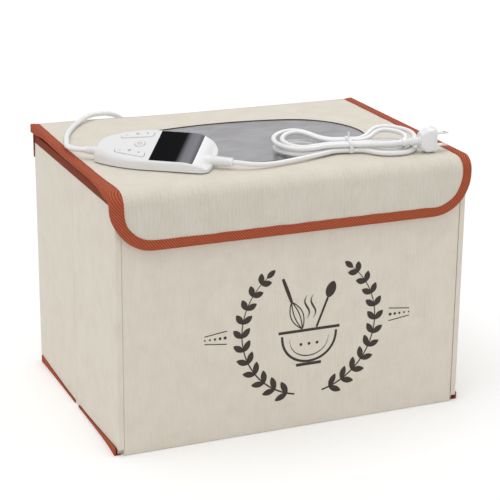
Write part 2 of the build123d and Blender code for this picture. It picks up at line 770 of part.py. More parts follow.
lead_end = lead_exit - along * lead_relief_l
lead_lie = lid_top + lead_d / 2 + lie_gap
hump_front, hump_back = (-130.0, 138.0, 277.6), (-118.6, 144.0, 277.6)
lead_join = (Vector(hump_front) + Vector(hump_back)) / 2
lead_top_route = [
    lead_end,
    lead_end - along * 6.2,
    (-187.2, 0.4, 281.4),
    (-189.1, 6.9, 281.1),
    (-188.7, 16.2, 279.9),
    (-186.7, 30.0, 277.0),
    (-181.0, 48.0, 275.6),
    (-173.5, 74.0, lead_lie),
    (-159.5, 102.0, lead_lie),
    (-144.0, 124.0, 275.6),
    hump_front,
    lead_join,
]
cord_tube("lead_top", lead_top_route, lead_d)
lead_back_route = [
    lead_join,
    hump_back,
    (-107.0, 149.4, 276.4),
    (-96.0, 153.8, 273.6),
    (-86.0, 157.0, 268.6),
    (-77.5, 158.8, 260.5),
    (-71.0, 159.2, 249.5),
    (-66.2, 159.2, 236.0),
    (-62.0, 159.0, 215.0),
    (-57.5, 158.5, 185.0),
    (-51.5, 157.0, 150.0),
    (-44.0, 154.3, 115.0),
    (-38.0, 150.6, 90.0),
    (lead_x, elbow_y, 68.0),
    (lead_x, elbow_y, lead_z + grommet_tail),
]
cord_tube("lead_back", lead_back_route, lead_d)


# ---- mains hank: one tube wound in two layers of loops that a tie draws in at the waist ------------------------
hank_turn = radians(hank_yaw)
hank_plane = Plane((hank_x, hank_y, lid_top), x_dir=(cos(hank_turn), sin(hank_turn), 0), z_dir=(0, 0, 1))
row_low = 2 * lie_gap + tie_t + mains_d / 2
row_high = row_low + mains_d + layer_gap
rows = [strand_step * (k + 0.5) for k in (2, 1, 1, 0, 0, 0, 1, 1, 2)]
plug_z = lid_top + plug_block_h / 2 + plug_flange_over + lie_gap
plug_back = plug_x - plug_flange_t - plug_block_l - plug_taper_l - plug_relief_l
plug_entry = Vector(plug_back, plug_y, plug_z)
entry_angle = radians(entry_turn)
entry_line = Vector(cos(entry_angle), sin(entry_angle), 0)
entry_bend = Vector(
    -waist_half - entry_r * sin(entry_angle),
    -rows[0] - entry_r * (1 - cos(entry_angle)),
    row_low,
)
hank_start = entry_bend - entry_line * mains_d


def arc_round(centre, start, end):
    """Arc under a half circle between two points at one distance from a centre."""
    middle = ((start - centre) + (end - centre)).normalized() * (start - centre).length
    return ThreePointArc(start, centre + middle, end)


def flare(side, half, y, c, r, y_c, z):
    """Waist end, tangent point with the loop, and centre of the hollow curve between them."""
    spread = abs(y - y_c)
    hollow = ((c - half) ** 2 + spread**2 - r**2) / (2 * (r - spread))
    centre = Vector(side * half, y + hollow * (1 if y > 0 else -1), z)
    loop = Vector(side * c, y_c, z)
    return Vector(side * half, y, z), centre + (loop - centre) * (hollow / (hollow + r)), centre, loop


with BuildPart() as mains_hank:
    with BuildLine() as hank_route:
        Line(hank_start, entry_bend)
        ThreePointArc(
            entry_bend,
            (
                -waist_half - entry_r * sin(entry_angle / 2),
                -rows[0] - entry_r * (1 - cos(entry_angle / 2)),
                row_low,
            ),
            (-waist_half, -rows[0], row_low),
        )
        Line((-waist_half, -rows[0], row_low), (waist_half, -rows[0], row_low))
        for n in range(8):
            side = 1 if n % 2 == 0 else -1
            layer = n // 4
            z = (row_low, row_high)[layer]
            y_in, y_out = -side * rows[n], side * rows[n + 1]
            mean = (rows[n] + rows[n + 1]) / 2
            y_c = (y_in + y_out) / 2
            if side > 0:
                r, c = right_loop_r[layer] + lobe_slope * mean, right_loop_out + mean / 6
            else:
                r, c = left_loop_r[layer] + lobe_slope * mean, left_loop_out + mean / 3
            half_in = climb_half if n == 4 else waist_half
            half_out = climb_half if n == 3 else waist_half
            start, touch, hollow, loop = flare(side, half_in, y_in, c, r, y_c, z)
            far = loop + Vector(side * r, 0, 0)
            arc_round(hollow, start, touch)
            arc_round(loop, touch, far)
            end, leave, hollow, loop = flare(side, half_out, y_out, c, r, y_c, z)
            arc_round(loop, far, leave)
            arc_round(hollow, leave, end)
            if n == 3:
                rise = row_high - row_low
                climb_r = (4 * climb_half**2 + rise**2) / (4 * rise)
                tip = asin(climb_half / climb_r) / 2
                step_x, step_z = climb_r * sin(tip), climb_r * (1 - cos(tip))
                middle = Vector(0, y_out, (row_low + row_high) / 2)
                ThreePointArc(end, (-climb_half + step_x, y_out, row_low + step_z), middle)
                ThreePointArc(middle, (climb_half - step_x, y_out, row_high - step_z), (climb_half, y_out, row_high))
            elif n < 7:
                Line(end, (side * waist_half * -1, y_out, z))
        waist_end = Vector(-waist_half, -rows[8], row_high)
        plug_local = hank_plane.to_local_coords(plug_entry)
        plug_line = hank_plane.to_local_coords(plug_entry - Vector(exit_run, 0, 0))
        exit_corner = Vector(exit_reach, -rows[8], row_high)
        exit_spots = [waist_end, exit_corner, plug_line, plug_local]
        exit_runs = [b - a for a, b in zip(exit_spots, exit_spots[1:])]
        exit_radii = []
        for before, after, share in zip(exit_runs, exit_runs[1:], exit_shares):
            exit_radii.append(share / tan(radians(before.get_angle(after)) / 2))
        FilletPolyline(*exit_spots, radius=exit_radii)
    path = hank_plane.location * hank_route.wire()
    with BuildSketch(Plane(path @ 0, z_dir=path % 0)):
        Circle(mains_d / 2)
    sweep(path=path)
save(mains_hank, "mains_hank")
hank_length = path.length
print("hank length", round(hank_length, 1), "exit bends", [round(r / mains_d, 1) for r in exit_radii])
print("hank volume share", round(mains_hank.part.volume / (pi * mains_d**2 / 4 * hank_length), 4))
count = int(hank_length / 1.5)
spots = [path @ (i / count) for i in range(count + 1)]
least = min(
    (spots[i] - spots[j]).length
    for i in range(len(spots))
    for j in range(i + 11, len(spots))
)
print("hank least gap to itself", round(least - mains_d, 2))

hank_entry = hank_plane.from_local_coords(hank_start)
entry_world = (hank_plane.from_local_coords(entry_bend) - hank_entry).normalized()
mains_end = mains_exit + along * mains_relief_l
mains_route = [
    mains_end,
    mains_end + along * 5.5,
    (-43.0, -105.2, 278.2),
    (-33.0, -106.2, 276.6),
    (-14.0, -104.6, lid_top + row_low),
    (9.0, -99.2, lid_top + row_low),
    hank_entry - entry_world * 22,
    hank_entry,
]
cord_tube("mains_run", mains_route, mains_d)

tie_w_in = 2 * lie_gap + mains_d + rows[0] + rows[1]
tie_h_in = mains_d + row_high - row_low + 2 * lie_gap
with BuildPart() as hank_tie:
    tie_centre = hank_plane.from_local_coords((-tie_w / 2, (rows[1] - rows[0]) / 2, (row_low + row_high) / 2))
    with BuildSketch(Plane(tie_centre, x_dir=hank_plane.y_dir, z_dir=hank_plane.x_dir)):
        RectangleRounded(tie_w_in + 2 * tie_t, tie_h_in + 2 * tie_t, mains_d / 2)
        RectangleRounded(tie_w_in, tie_h_in, mains_d / 2 - tie_t, mode=Mode.SUBTRACT)
    extrude(amount=tie_w)
    tie_top = hank_plane.from_local_coords((0, 0, row_high + mains_d / 2 + lie_gap + tie_t / 2))
    add(round_bar(tie_top, Vector(0, 0, 1), tie_ear_h, tie_ear_r).part)
save(hank_tie, "hank_tie")


# ---- mains plug, on its edge ---------------------------------------------------------------------------------
with BuildPart() as plug_body:
    add(
        ribbed_taper(
            plug_entry + Vector(plug_relief_l, 0, 0),
            Vector(-1, 0, 0),
            [(0, 0)],
            plug_relief_l,
            plug_relief_r,
            plug_relief_end_r,
        ).part
    )
    face_plane = Plane(plug_entry + Vector(plug_relief_l, 0, 0), x_dir=(0, 1, 0), z_dir=(1, 0, 0))
    with BuildSketch(face_plane):
        RectangleRounded(plug_taper_w, plug_taper_h, plug_taper_w / 3)
    with BuildSketch(face_plane.offset(plug_taper_l)):
        RectangleRounded(plug_block_w, plug_block_h, plug_taper_w / 3)
    loft()
    with BuildSketch(face_plane.offset(plug_taper_l)):
        RectangleRounded(plug_block_w, plug_block_h, plug_taper_w / 3)
    extrude(amount=plug_block_l)
    with BuildSketch(face_plane.offset(plug_taper_l + plug_block_l)):
        RectangleRounded(
            plug_block_w + 2 * plug_flange_over,
            plug_block_h + 2 * plug_flange_over,
            plug_taper_w / 3 + plug_flange_over,
        )
    extrude(amount=plug_flange_t)
    with BuildSketch(face_plane.offset(plug_taper_l + plug_block_l + plug_flange_t)):
        with GridLocations(0, blade_step, 1, 2):
            Rectangle(blade_w, blade_t)
    extrude(amount=-blade_root, mode=Mode.SUBTRACT)
save(plug_body, "plug_body")

with BuildPart() as plug_blades:
    with BuildSketch(face_plane.offset(plug_taper_l + plug_block_l + plug_flange_t - blade_root)):
        with GridLocations(0, blade_step, 1, 2):
            Rectangle(blade_w, blade_t)
    extrude(amount=blade_root + blade_l)
    chamfer(plug_blades.faces().sort_by(Axis.X)[-2:].edges().filter_by(Axis.Z), blade_t)
    with BuildSketch(Plane((plug_x + blade_l - blade_hole_in, plug_y, plug_z))):
        Circle(blade_t)
    extrude(amount=plug_block_h, both=True, mode=Mode.SUBTRACT)
save(plug_blades, "plug_blades")
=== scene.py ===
from math import asin, atan2, ceil, cos, exp, hypot, pi, radians, sin, sqrt, tan

import bmesh
import bpy
from mathutils import Matrix, Vector, noise


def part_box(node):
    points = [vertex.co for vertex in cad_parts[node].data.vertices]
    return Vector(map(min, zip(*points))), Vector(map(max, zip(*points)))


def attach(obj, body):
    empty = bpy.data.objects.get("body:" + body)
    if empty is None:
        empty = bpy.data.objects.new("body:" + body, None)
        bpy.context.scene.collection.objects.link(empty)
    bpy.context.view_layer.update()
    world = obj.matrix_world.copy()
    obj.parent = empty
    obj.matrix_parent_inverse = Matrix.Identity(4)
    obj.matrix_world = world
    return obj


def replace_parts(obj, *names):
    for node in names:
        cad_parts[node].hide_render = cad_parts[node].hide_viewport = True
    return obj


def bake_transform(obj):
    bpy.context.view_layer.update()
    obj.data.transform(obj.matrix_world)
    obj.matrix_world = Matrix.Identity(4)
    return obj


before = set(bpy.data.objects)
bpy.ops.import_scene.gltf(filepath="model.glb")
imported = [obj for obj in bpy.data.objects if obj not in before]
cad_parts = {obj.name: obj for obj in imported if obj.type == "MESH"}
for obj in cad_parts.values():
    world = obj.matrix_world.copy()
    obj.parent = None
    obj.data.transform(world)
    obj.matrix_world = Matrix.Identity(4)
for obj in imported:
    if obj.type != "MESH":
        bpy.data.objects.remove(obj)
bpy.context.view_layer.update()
scene = bpy.context.scene
scene.view_settings.view_transform = "Standard"

# ---------------------------------------------------------------------------------------------------------
# Studio: a wide pale floor under an even white sky, with one broad soft sun from the upper right
# and a small softbox at the back right whose reflection lies on the handset's rolled display, where a painted
# reflection in the display's colour adds to it.
# ---------------------------------------------------------------------------------------------------------
camera_at = Vector((-0.6442, -1.5272, 0.6996))
camera_right = Vector((0.9213, -0.3888, 0.0090)).normalized()
camera_forward = Vector((0.3718, 0.8737, -0.3139)).normalized()
camera_up = camera_right.cross(camera_forward)
camera_data = bpy.data.cameras.new("camera")
camera_data.lens = 117.1
camera_data.sensor_width = 36.0
camera_data.clip_end = 50.0
camera = bpy.data.objects.new("camera", camera_data)
camera.matrix_world = Matrix.Translation(camera_at) @ Matrix(
    (camera_right, camera_up, -camera_forward)
).transposed().to_4x4()
scene.collection.objects.link(camera)
scene.camera = camera

sun_data = bpy.data.lights.new("sun", "SUN")
sun_data.energy = 0.88
sun_data.angle = radians(50)
sun = bpy.data.objects.new("sun", sun_data)
sun.rotation_euler = Vector((-0.24, -0.06, 1.0)).to_track_quat("Z", "Y").to_euler()
scene.collection.objects.link(sun)

softbox_data = bpy.data.lights.new("softbox", "AREA")
softbox_data.energy = 8.0
softbox_data.size = 0.9
softbox = bpy.data.objects.new("softbox", softbox_data)
softbox.location = Vector((-0.10, -0.06, 0.29)) + 1.3 * Vector((0.58, 0.28, 0.74)).normalized()
softbox.rotation_euler = Vector((0.58, 0.28, 0.74)).to_track_quat("Z", "Y").to_euler()
scene.collection.objects.link(softbox)
softbox.visible_diffuse = False

world = bpy.data.worlds.new("white sky")
scene.world = world
world.use_nodes = True
sky = world.node_tree.nodes["Background"]
sky.inputs["Color"].default_value = (1.0, 1.0, 1.0, 1.0)
rays = world.node_tree.nodes.new("ShaderNodeLightPath")
seen = world.node_tree.nodes.new("ShaderNodeMath")
seen.operation = "MAXIMUM"
mirrored = world.node_tree.nodes.new("ShaderNodeMath")
mirrored.operation = "MAXIMUM"
level = world.node_tree.nodes.new("ShaderNodeMapRange")
level.inputs["To Min"].default_value = 0.72
level.inputs["To Max"].default_value = 1.0
world.node_tree.links.new(rays.outputs["Is Camera Ray"], seen.inputs[0])
world.node_tree.links.new(rays.outputs["Is Glossy Ray"], seen.inputs[1])
world.node_tree.links.new(seen.outputs[0], mirrored.inputs[0])
world.node_tree.links.new(rays.outputs["Is Transmission Ray"], mirrored.inputs[1])
world.node_tree.links.new(mirrored.outputs[0], level.inputs["Value"])
world.node_tree.links.new(level.outputs["Result"], sky.inputs["Strength"])

floor_paint = bpy.data.materials.new("floor paint")
floor_paint.use_nodes = True
floor_nodes = floor_paint.node_tree.nodes
floor_shader = floor_nodes["Principled BSDF"]
floor_shader.inputs["Roughness"].default_value = 0.9
floor_shader.inputs["Specular IOR Level"].default_value = 0.0
floor_rays = floor_nodes.new("ShaderNodeLightPath")
floor_tone = floor_nodes.new("ShaderNodeMix")
floor_tone.data_type = "RGBA"
floor_tone.inputs["A"].default_value = (0.84, 0.84, 0.84, 1.0)
floor_tone.inputs["B"].default_value = (1.0, 1.0, 1.0, 1.0)
floor_paint.node_tree.links.new(floor_rays.outputs["Is Camera Ray"], floor_tone.inputs["Factor"])
floor_paint.node_tree.links.new(floor_tone.outputs["Result"], floor_shader.inputs["Base Color"])
floor_glow = floor_nodes.new("ShaderNodeMath")
floor_glow.operation = "MULTIPLY"
floor_glow.inputs[1].default_value = 0.06
floor_shader.inputs["Emission Color"].default_value = (1.0, 1.0, 1.0, 1.0)
floor_paint.node_tree.links.new(floor_rays.outputs["Is Camera Ray"], floor_glow.inputs[0])
floor_paint.node_tree.links.new(floor_glow.outputs["Value"], floor_shader.inputs["Emission Strength"])
floor_bm = bmesh.new()
bmesh.ops.create_grid(floor_bm, x_segments=1, y_segments=1, size=15.0)
floor_mesh = bpy.data.meshes.new("floor")
floor_bm.to_mesh(floor_mesh)
floor_bm.free()
floor_mesh.materials.append(floor_paint)
floor = bpy.data.objects.new("floor", floor_mesh)
scene.collection.objects.link(floor)


# ---------------------------------------------------------------------------------------------------------
# Base: two boards in cream sleeves of ribbed non-woven cloth, one each side of a crease strip, so that
# the floor folds up in the middle. The sleeves' ends are closed with rust twill tape, sewn on.
# ---------------------------------------------------------------------------------------------------------
def finish(name, roughness, metallic=0.0):
    """A new finish: its material, node tree and shader."""
    material = bpy.data.materials.new(name)
    material.use_nodes = True
    shader = material.node_tree.nodes["Principled BSDF"]
    shader.inputs["Roughness"].default_value = roughness
    shader.inputs["Metallic"].default_value = metallic
    return material, material.node_tree, shader


def pattern(tree, kind, stretch, turn=(0.0, 0.0, 0.0), source="Object", **settings):
    """A texture on the piece's own coordinates, stretched and turned."""
    where = tree.nodes.new("ShaderNodeTexCoord")
    place = tree.nodes.new("ShaderNodeMapping")
    place.inputs["Scale"].default_value = stretch
    place.inputs["Rotation"].default_value = turn
    texture = tree.nodes.new(kind)
    for setting, value in settings.items():
        if setting[0].isupper():
            texture.inputs[setting.replace("_", " ")].default_value = value
        else:
            setattr(texture, setting, value)
    tree.links.new(where.outputs[source], place.inputs["Vector"])
    tree.links.new(place.outputs["Vector"], texture.inputs["Vector"])
    return texture


def shades(tree, shader, value, stops):
    """Base colour taken from a value through a row of colours."""
    ramp = tree.nodes.new("ShaderNodeValToRGB")
    while len(ramp.color_ramp.elements) < len(stops):
        ramp.color_ramp.elements.new(0.5)
    for element, (position, colour) in zip(ramp.color_ramp.elements, stops):
        element.position = position
        element.color = (*colour, 1.0)
    tree.links.new(value, ramp.inputs["Fac"])
    tree.links.new(ramp.outputs["Color"], shader.inputs["Base Color"])
    return ramp


def relief(tree, shader, value, depth, under=None):
    """Surface relief from a value, over another relief if one is given."""
    bump = tree.nodes.new("ShaderNodeBump")
    bump.inputs["Strength"].default_value = 1.0
    bump.inputs["Distance"].default_value = depth
    tree.links.new(value, bump.inputs["Height"])
    if under:
        tree.links.new(under.outputs["Normal"], bump.inputs["Normal"])
    tree.links.new(bump.outputs["Normal"], shader.inputs["Normal"])
    return bump


def blended(tree, first, second, share):
    """Two values mixed by a share."""
    mix = tree.nodes.new("ShaderNodeMix")
    mix.data_type = "FLOAT"
    mix.inputs["Factor"].default_value = share
    tree.links.new(first, mix.inputs["A"])
    tree.links.new(second, mix.inputs["B"])
    return mix.outputs["Result"]


def cream_cloth(name, ribs):
    """Cream non-woven cloth: fine embossed ribs that run along the axis with the small stretch, and fibres."""
    material, tree, shader = finish(name, 0.88)
    shader.inputs["Sheen Weight"].default_value = 0.12
    shader.inputs["Sheen Roughness"].default_value = 0.5
    clouds = pattern(tree, "ShaderNodeTexNoise", (9.0, 9.0, 9.0), Detail=3.0, Roughness=0.6)
    threads = pattern(tree, "ShaderNodeTexNoise", ribs, Detail=2.0, Roughness=0.5)
    fibres = pattern(tree, "ShaderNodeTexNoise", (1500.0, 1500.0, 1500.0), Detail=2.0, Roughness=0.7)
    tone = blended(tree, blended(tree, clouds.outputs["Fac"], threads.outputs["Fac"], 0.45),
                   fibres.outputs["Fac"], 0.2)
    shades(tree, shader, tone, [(0.30, (0.740, 0.670, 0.560)), (0.52, (0.815, 0.752, 0.645)),
                                (0.72, (0.850, 0.800, 0.705))])
    coarse = relief(tree, shader, threads.outputs["Fac"], 0.00035)
    relief(tree, shader, fibres.outputs["Fac"], 0.00010, under=coarse)
    return material


def rust_twill(name, turn, painted_shade_scale=1.0):
    """Rust twill tape: fine diagonal ribs, darker between them, with a slightly faded tone here and there; a scale
    below 1 on all its colours paints shade over the whole tape.
    """
    material, tree, shader = finish(name, 0.85)
    shader.inputs["Specular IOR Level"].default_value = 0.12
    ribs = pattern(tree, "ShaderNodeTexWave", (1.0, 1.0, 1.0), turn, Scale=165.0, Distortion=0.5, Detail=1.0)
    wear = pattern(tree, "ShaderNodeTexNoise", (45.0, 45.0, 45.0), Detail=4.0, Roughness=0.6)
    tone = blended(tree, ribs.outputs["Fac"], wear.outputs["Fac"], 0.28)
    # painted shade: a scale below 1 darkens every colour of the tape
    shades(tree, shader, tone, [(0.18, (0.290 * painted_shade_scale, 0.060 * painted_shade_scale, 0.029 * painted_shade_scale)),
                                (0.50, (0.430 * painted_shade_scale, 0.094 * painted_shade_scale, 0.043 * painted_shade_scale)),
                                (0.82, (0.530 * painted_shade_scale, 0.128 * painted_shade_scale, 0.062 * painted_shade_scale))])
    relief(tree, shader, ribs.outputs["Fac"], 0.00025)
    return material


def laid(name, columns, rows, place, closed=False):
    """A bmesh sheet of columns by rows cells, each corner put where place(share across, share along) says."""
    bm = bmesh.new()
    bmesh.ops.create_grid(bm, x_segments=columns, y_segments=rows, size=0.5)
    for vert in bm.verts:
        vert.co = place(vert.co.x + 0.5, vert.co.y + 0.5)
    if closed:
        bmesh.ops.remove_doubles(bm, verts=bm.verts, dist=1e-6)
    return bm


def piece(name, bm, material, crisp=40):
    """The finished piece of a bmesh: outward faces, smooth but for edges sharper than crisp degrees."""
    mesh = bpy.data.meshes.new(name)
    bm.to_mesh(mesh)
    bm.free()
    mesh.materials.append(material)
    mesh.shade_smooth()
    mesh.set_sharp_from_angle(angle=radians(crisp))
    made = bpy.data.objects.new(name, mesh)
    scene.collection.objects.link(made)
    return made


def soft_block(low, high, edge, cells=0.012, swell=0.0):
    """A closed block between two corners with rounded edges, its faces cut into cells and swollen a little."""
    bm = bmesh.new()
    size = Vector(high) - Vector(low)
    middle = (Vector(high) + Vector(low)) / 2
    bmesh.ops.create_cube(bm, size=1.0)
    bmesh.ops.scale(bm, vec=size, verts=bm.verts)
    for axis in range(3):
        cuts = max(0, ceil((size[axis] - 2 * edge) / cells) - 1)
        if cuts:
            along = [e for e in bm.edges
                     if abs((e.verts[0].co - e.verts[1].co)[axis]) > size[axis] * 0.9]
            bmesh.ops.subdivide_edges(bm, edges=along, cuts=cuts, use_grid_fill=True)
    rim = [e for e in bm.edges if len(e.link_faces) == 2 and e.calc_face_angle() > 0.8]
    bmesh.ops.bevel(bm, geom=rim, offset=edge, segments=3, profile=0.5, affect="EDGES", material=-1)
    thin = min(range(3), key=lambda axis: size[axis])
    if swell:
        for vert in bm.verts:
            side = 1 if vert.co[thin] > 0 else -1
            vert.co[thin] += side * swell * noise.noise(Vector(vert.co) * 22.0 + middle * 9.0)
    bmesh.ops.translate(bm, vec=middle, verts=bm.verts)
    bmesh.ops.recalc_face_normals(bm, faces=bm.faces)
    return bm


side_cloth = cream_cloth("cream cloth, side ribs", (260.0, 260.0, 14.0))
floor_cloth = cream_cloth("cream cloth, floor ribs", (260.0, 14.0, 260.0))
edge_tape = rust_twill("rust twill tape", (0.5, 0.4, radians(45)))

for half in ("rear", "front"):
    low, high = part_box(f"base_{half}_cover")
    sleeve = piece(f"base_{half}_sleeve", soft_block(low, high, 0.0012), floor_cloth)
    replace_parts(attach(sleeve, f"{half}_base"), f"base_{half}_cover")
    low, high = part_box(f"base_{half}_binding")
    near, far = (low.y, high.y) if half == "rear" else (high.y, low.y - 0.0025)
    tapes = bmesh.new()
    for side in (-1, 1):
        # tape folded round the sleeve's end: full height at the corner, narrow at the crease
        def fold(around, along, side=side, near=near, far=far):
            y = near + (far - near) * along
            corner = along ** 2.4
            top = 0.0022 + 0.0060 * corner - 0.0008 * exp(-((along - 0.04) / 0.03) ** 2)
            flare = 0.0026 * along ** 5 if half == "front" else 0.0006 * along ** 5
            ring = [(-0.004, 0.0), (0.0008, 0.0), (0.0012, 0.0004), (0.0012, top - 0.0004),
                    (0.0008, top), (-0.0006, top), (-0.0006, 0.0002), (-0.004, 0.0002)]
            out, up = ring[round(around * 8) % 8]
            return Vector((side * (0.1896 + out + (flare if out > -0.003 else 0.0)), y, up))
        strip = laid("tape", 8, 24, fold, closed=True)
        bmesh.ops.holes_fill(strip, edges=strip.edges, sides=0)
        bmesh.ops.recalc_face_normals(strip, faces=strip.faces)
        held = bpy.data.meshes.new("tape")
        strip.to_mesh(held)
        strip.free()
        tapes.from_mesh(held)
    binding = piece(f"base_{half}_edge_tape", tapes, edge_tape)
    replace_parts(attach(binding, f"{half}_base"), f"base_{half}_binding")
    board, tree, shader = finish(f"base {half} board", 0.8)
    flecks = pattern(tree, "ShaderNodeTexNoise", (120.0, 120.0, 120.0), Detail=6.0)
    shades(tree, shader, flecks.outputs["Fac"], [(0.35, (0.20, 0.14, 0.09)), (0.65, (0.33, 0.24, 0.16))])
    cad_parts[f"base_{half}_board"].data.materials[0] = board

low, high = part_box("base_crease")
crease = piece("base_crease_strip", soft_block(low, high, 0.0012), floor_cloth)
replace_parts(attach(crease, "base_spine"), "base_crease")


# ---------------------------------------------------------------------------------------------------------
# Heating pads: a heating wire laid in rows between two layers of grey polyester felt, sewn down between
# the rows. The rear pad carries the terminal block of the lead, and a probe lies on the front pad.
# ---------------------------------------------------------------------------------------------------------
felt, tree, shader = finish("grey polyester felt", 0.92)
shader.inputs["Sheen Weight"].default_value = 0.3
fluff = pattern(tree, "ShaderNodeTexNoise", (600.0, 600.0, 600.0), Detail=4.0, Roughness=0.7)
shades(tree, shader, fluff.outputs["Fac"], [(0.35, (0.16, 0.16, 0.17)), (0.65, (0.27, 0.27, 0.28))])
relief(tree, shader, fluff.outputs["Fac"], 0.00025)

row_pitch = 0.018
for half in ("rear", "front"):
    low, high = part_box(f"heating_pad_{half}")
    top = 0.0085

    def puffed(across, around, low=low, high=high, top=top):
        """Around the pad's section: over the top, then back along the flat underside."""
        x = low.x + (high.x - low.x) * across
        share = around * 2
        over = share <= 1
        y = low.y + (high.y - low.y) * (share if over else 2 - share)
        edge = min(x - low.x, high.x - x, y - low.y, high.y - y)
        rows = (y - low.y - 0.0105) / row_pitch
        channel = 0.0011 * exp(-((rows - round(rows)) * row_pitch / 0.0016) ** 2)
        thick = (top - 0.0061) * (1 - exp(-max(edge, 0.0) / 0.0022)) - channel * (edge > 0.006)
        return Vector((x, y, 0.0061 + max(thick, 0.0003) if over else 0.0061))

    bm = laid("pad", 82, 152, puffed, closed=True)
    bmesh.ops.holes_fill(bm, edges=bm.edges, sides=0)
    bmesh.ops.recalc_face_normals(bm, faces=bm.faces)
    pad = piece(f"quilted_pad_{half}", bm, felt, crisp=60)
    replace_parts(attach(pad, f"{half}_base"), f"heating_pad_{half}")

block_plastic, tree, shader = finish("black terminal block", 0.45)
pits = pattern(tree, "ShaderNodeTexNoise", (900.0, 900.0, 900.0))
shades(tree, shader, pits.outputs["Fac"], [(0.4, (0.02, 0.02, 0.02)), (0.6, (0.035, 0.035, 0.035))])
relief(tree, shader, pits.outputs["Fac"], 0.00004)
block = piece("terminal_block", soft_block((-0.049, 0.1192, 0.0062), (-0.021, 0.1352, 0.0150), 0.0012),
              block_plastic)
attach(block, "rear_base")

wire_rubber, tree, shader = finish("red wire rubber", 0.5)
dust = pattern(tree, "ShaderNodeTexNoise", (300.0, 300.0, 300.0))
shades(tree, shader, dust.outputs["Fac"], [(0.4, (0.45, 0.03, 0.02)), (0.6, (0.55, 0.06, 0.04))])
for half in ("rear", "front"):
    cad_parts[f"heating_wire_{half}"].data.materials[0] = wire_rubber

probe_steel, tree, shader = finish("probe steel", 0.3, 1.0)
brushed = pattern(tree, "ShaderNodeTexNoise", (40.0, 900.0, 900.0))
shades(tree, shader, brushed.outputs["Fac"], [(0.4, (0.56, 0.56, 0.55)), (0.6, (0.68, 0.68, 0.67))])
relief(tree, shader, brushed.outputs["Fac"], 0.00003)
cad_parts["temperature_probe"].data.materials[0] = probe_steel


# ---------------------------------------------------------------------------------------------------------
# Walls: grey chipboard with quilted foil lining inside, in a cream cloth cover that is folded over all
# its edges and glued. The side walls are creased in the middle, and their rims are taped in rust twill.
# ---------------------------------------------------------------------------------------------------------
wall_thick = 0.006


def cloth_wave(across, up):
    """How far the glued cloth stands out at a place of a wall: soft swells and a faint tension near the edges."""
    broad = noise.noise(Vector((across * 7.0, up * 5.0, 3.7)))
    fine = noise.noise(Vector((across * 24.0, up * 11.0, 8.1)))
    return 0.00030 * broad + 0.00012 * fine


def wall_cover(name, node, body, out, seed):
    """A tray of cloth over the wall's outer face and edges; out is the wall's outward direction."""
    low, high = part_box(node)
    middle = (low + high) / 2
    width = high.x - low.x if abs(out.y) > 0.5 else high.y - low.y
    height = high.z - low.z
    bm = bmesh.new()
    bmesh.ops.create_grid(bm, x_segments=max(2, round(width / 0.008)), y_segments=round(height / 0.008), size=0.5)
    bmesh.ops.scale(bm, vec=(width + 0.0002, height, 1.0), verts=bm.verts)
    rim = [e for e in bm.edges if e.is_boundary]
    down = bmesh.ops.extrude_edge_only(bm, edges=rim)["geom"]
    bmesh.ops.translate(bm, vec=(0, 0, -wall_thick), verts=[g for g in down if isinstance(g, bmesh.types.BMVert)])
    sharp = [e for e in bm.edges if len(e.link_faces) == 2 and e.calc_face_angle() > 0.8]
    bmesh.ops.bevel(bm, geom=sharp, offset=0.0013, segments=3, profile=0.5, affect="EDGES", material=-1)
    for vert in bm.verts:
        if vert.co.z > -0.0001:
            vert.co.z += cloth_wave(vert.co.x + seed, vert.co.y + height / 2)
    bmesh.ops.recalc_face_normals(bm, faces=bm.faces)
    if sum(f.normal.z for f in bm.faces) < 0:
        bmesh.ops.reverse_faces(bm, faces=bm.faces)
    bmesh.ops.solidify(bm, geom=bm.faces, thickness=0.0009)
    up = Vector((0, 0, 1))
    turn = Matrix((up.cross(out), up, out)).transposed().to_4x4()
    place = Matrix.Translation(middle + out * wall_thick / 2) @ turn
    bmesh.ops.transform(bm, matrix=place, verts=bm.verts)
    for vert in bm.verts:
        if abs(out.x) > 0.5 and vert.co.z < low.z + 0.0016 and abs(vert.co.x) > 0.1885:
            vert.co.z -= 0.0034 * max(0.0, cos((vert.co.y - 0.004) / 0.115 * pi / 2))
    made = piece(name, bm, side_cloth, crisp=70)
    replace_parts(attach(made, body), node)
    return made


walls = [
    ("front", "front_wall", Vector((0, -1, 0)), 0.0),
    ("back", "back_wall", Vector((0, 1, 0)), 1.0),
    ("left_rear", "left_rear_wall", Vector((-1, 0, 0)), 2.0),
    ("left_front", "left_front_wall", Vector((-1, 0, 0)), 3.0),
    ("right_rear", "right_rear_wall", Vector((1, 0, 0)), 4.0),
    ("right_front", "right_front_wall", Vector((1, 0, 0)), 5.0),
]

foil, tree, shader = finish("quilted foil", 0.32, 0.9)
crinkle = pattern(tree, "ShaderNodeTexNoise", (160.0, 160.0, 160.0), Detail=6.0, Roughness=0.65)
shades(tree, shader, crinkle.outputs["Fac"], [(0.3, (0.66, 0.67, 0.68)), (0.7, (0.86, 0.86, 0.86))])
relief(tree, shader, crinkle.outputs["Fac"], 0.0004)

chipboard, tree, shader = finish("grey chipboard", 0.85)
chips = pattern(tree, "ShaderNodeTexNoise", (200.0, 200.0, 200.0), Detail=8.0)
shades(tree, shader, chips.outputs["Fac"], [(0.35, (0.28, 0.25, 0.21)), (0.65, (0.42, 0.39, 0.34))])


def quilt(across, up):
    """Depth of the lining's diamond quilting at a place."""
    first = abs(sin(pi * (across + up) / 0.036))
    second = abs(sin(pi * (across - up) / 0.036))
    return 0.0009 * (1 - min(first, second) ** 0.5)


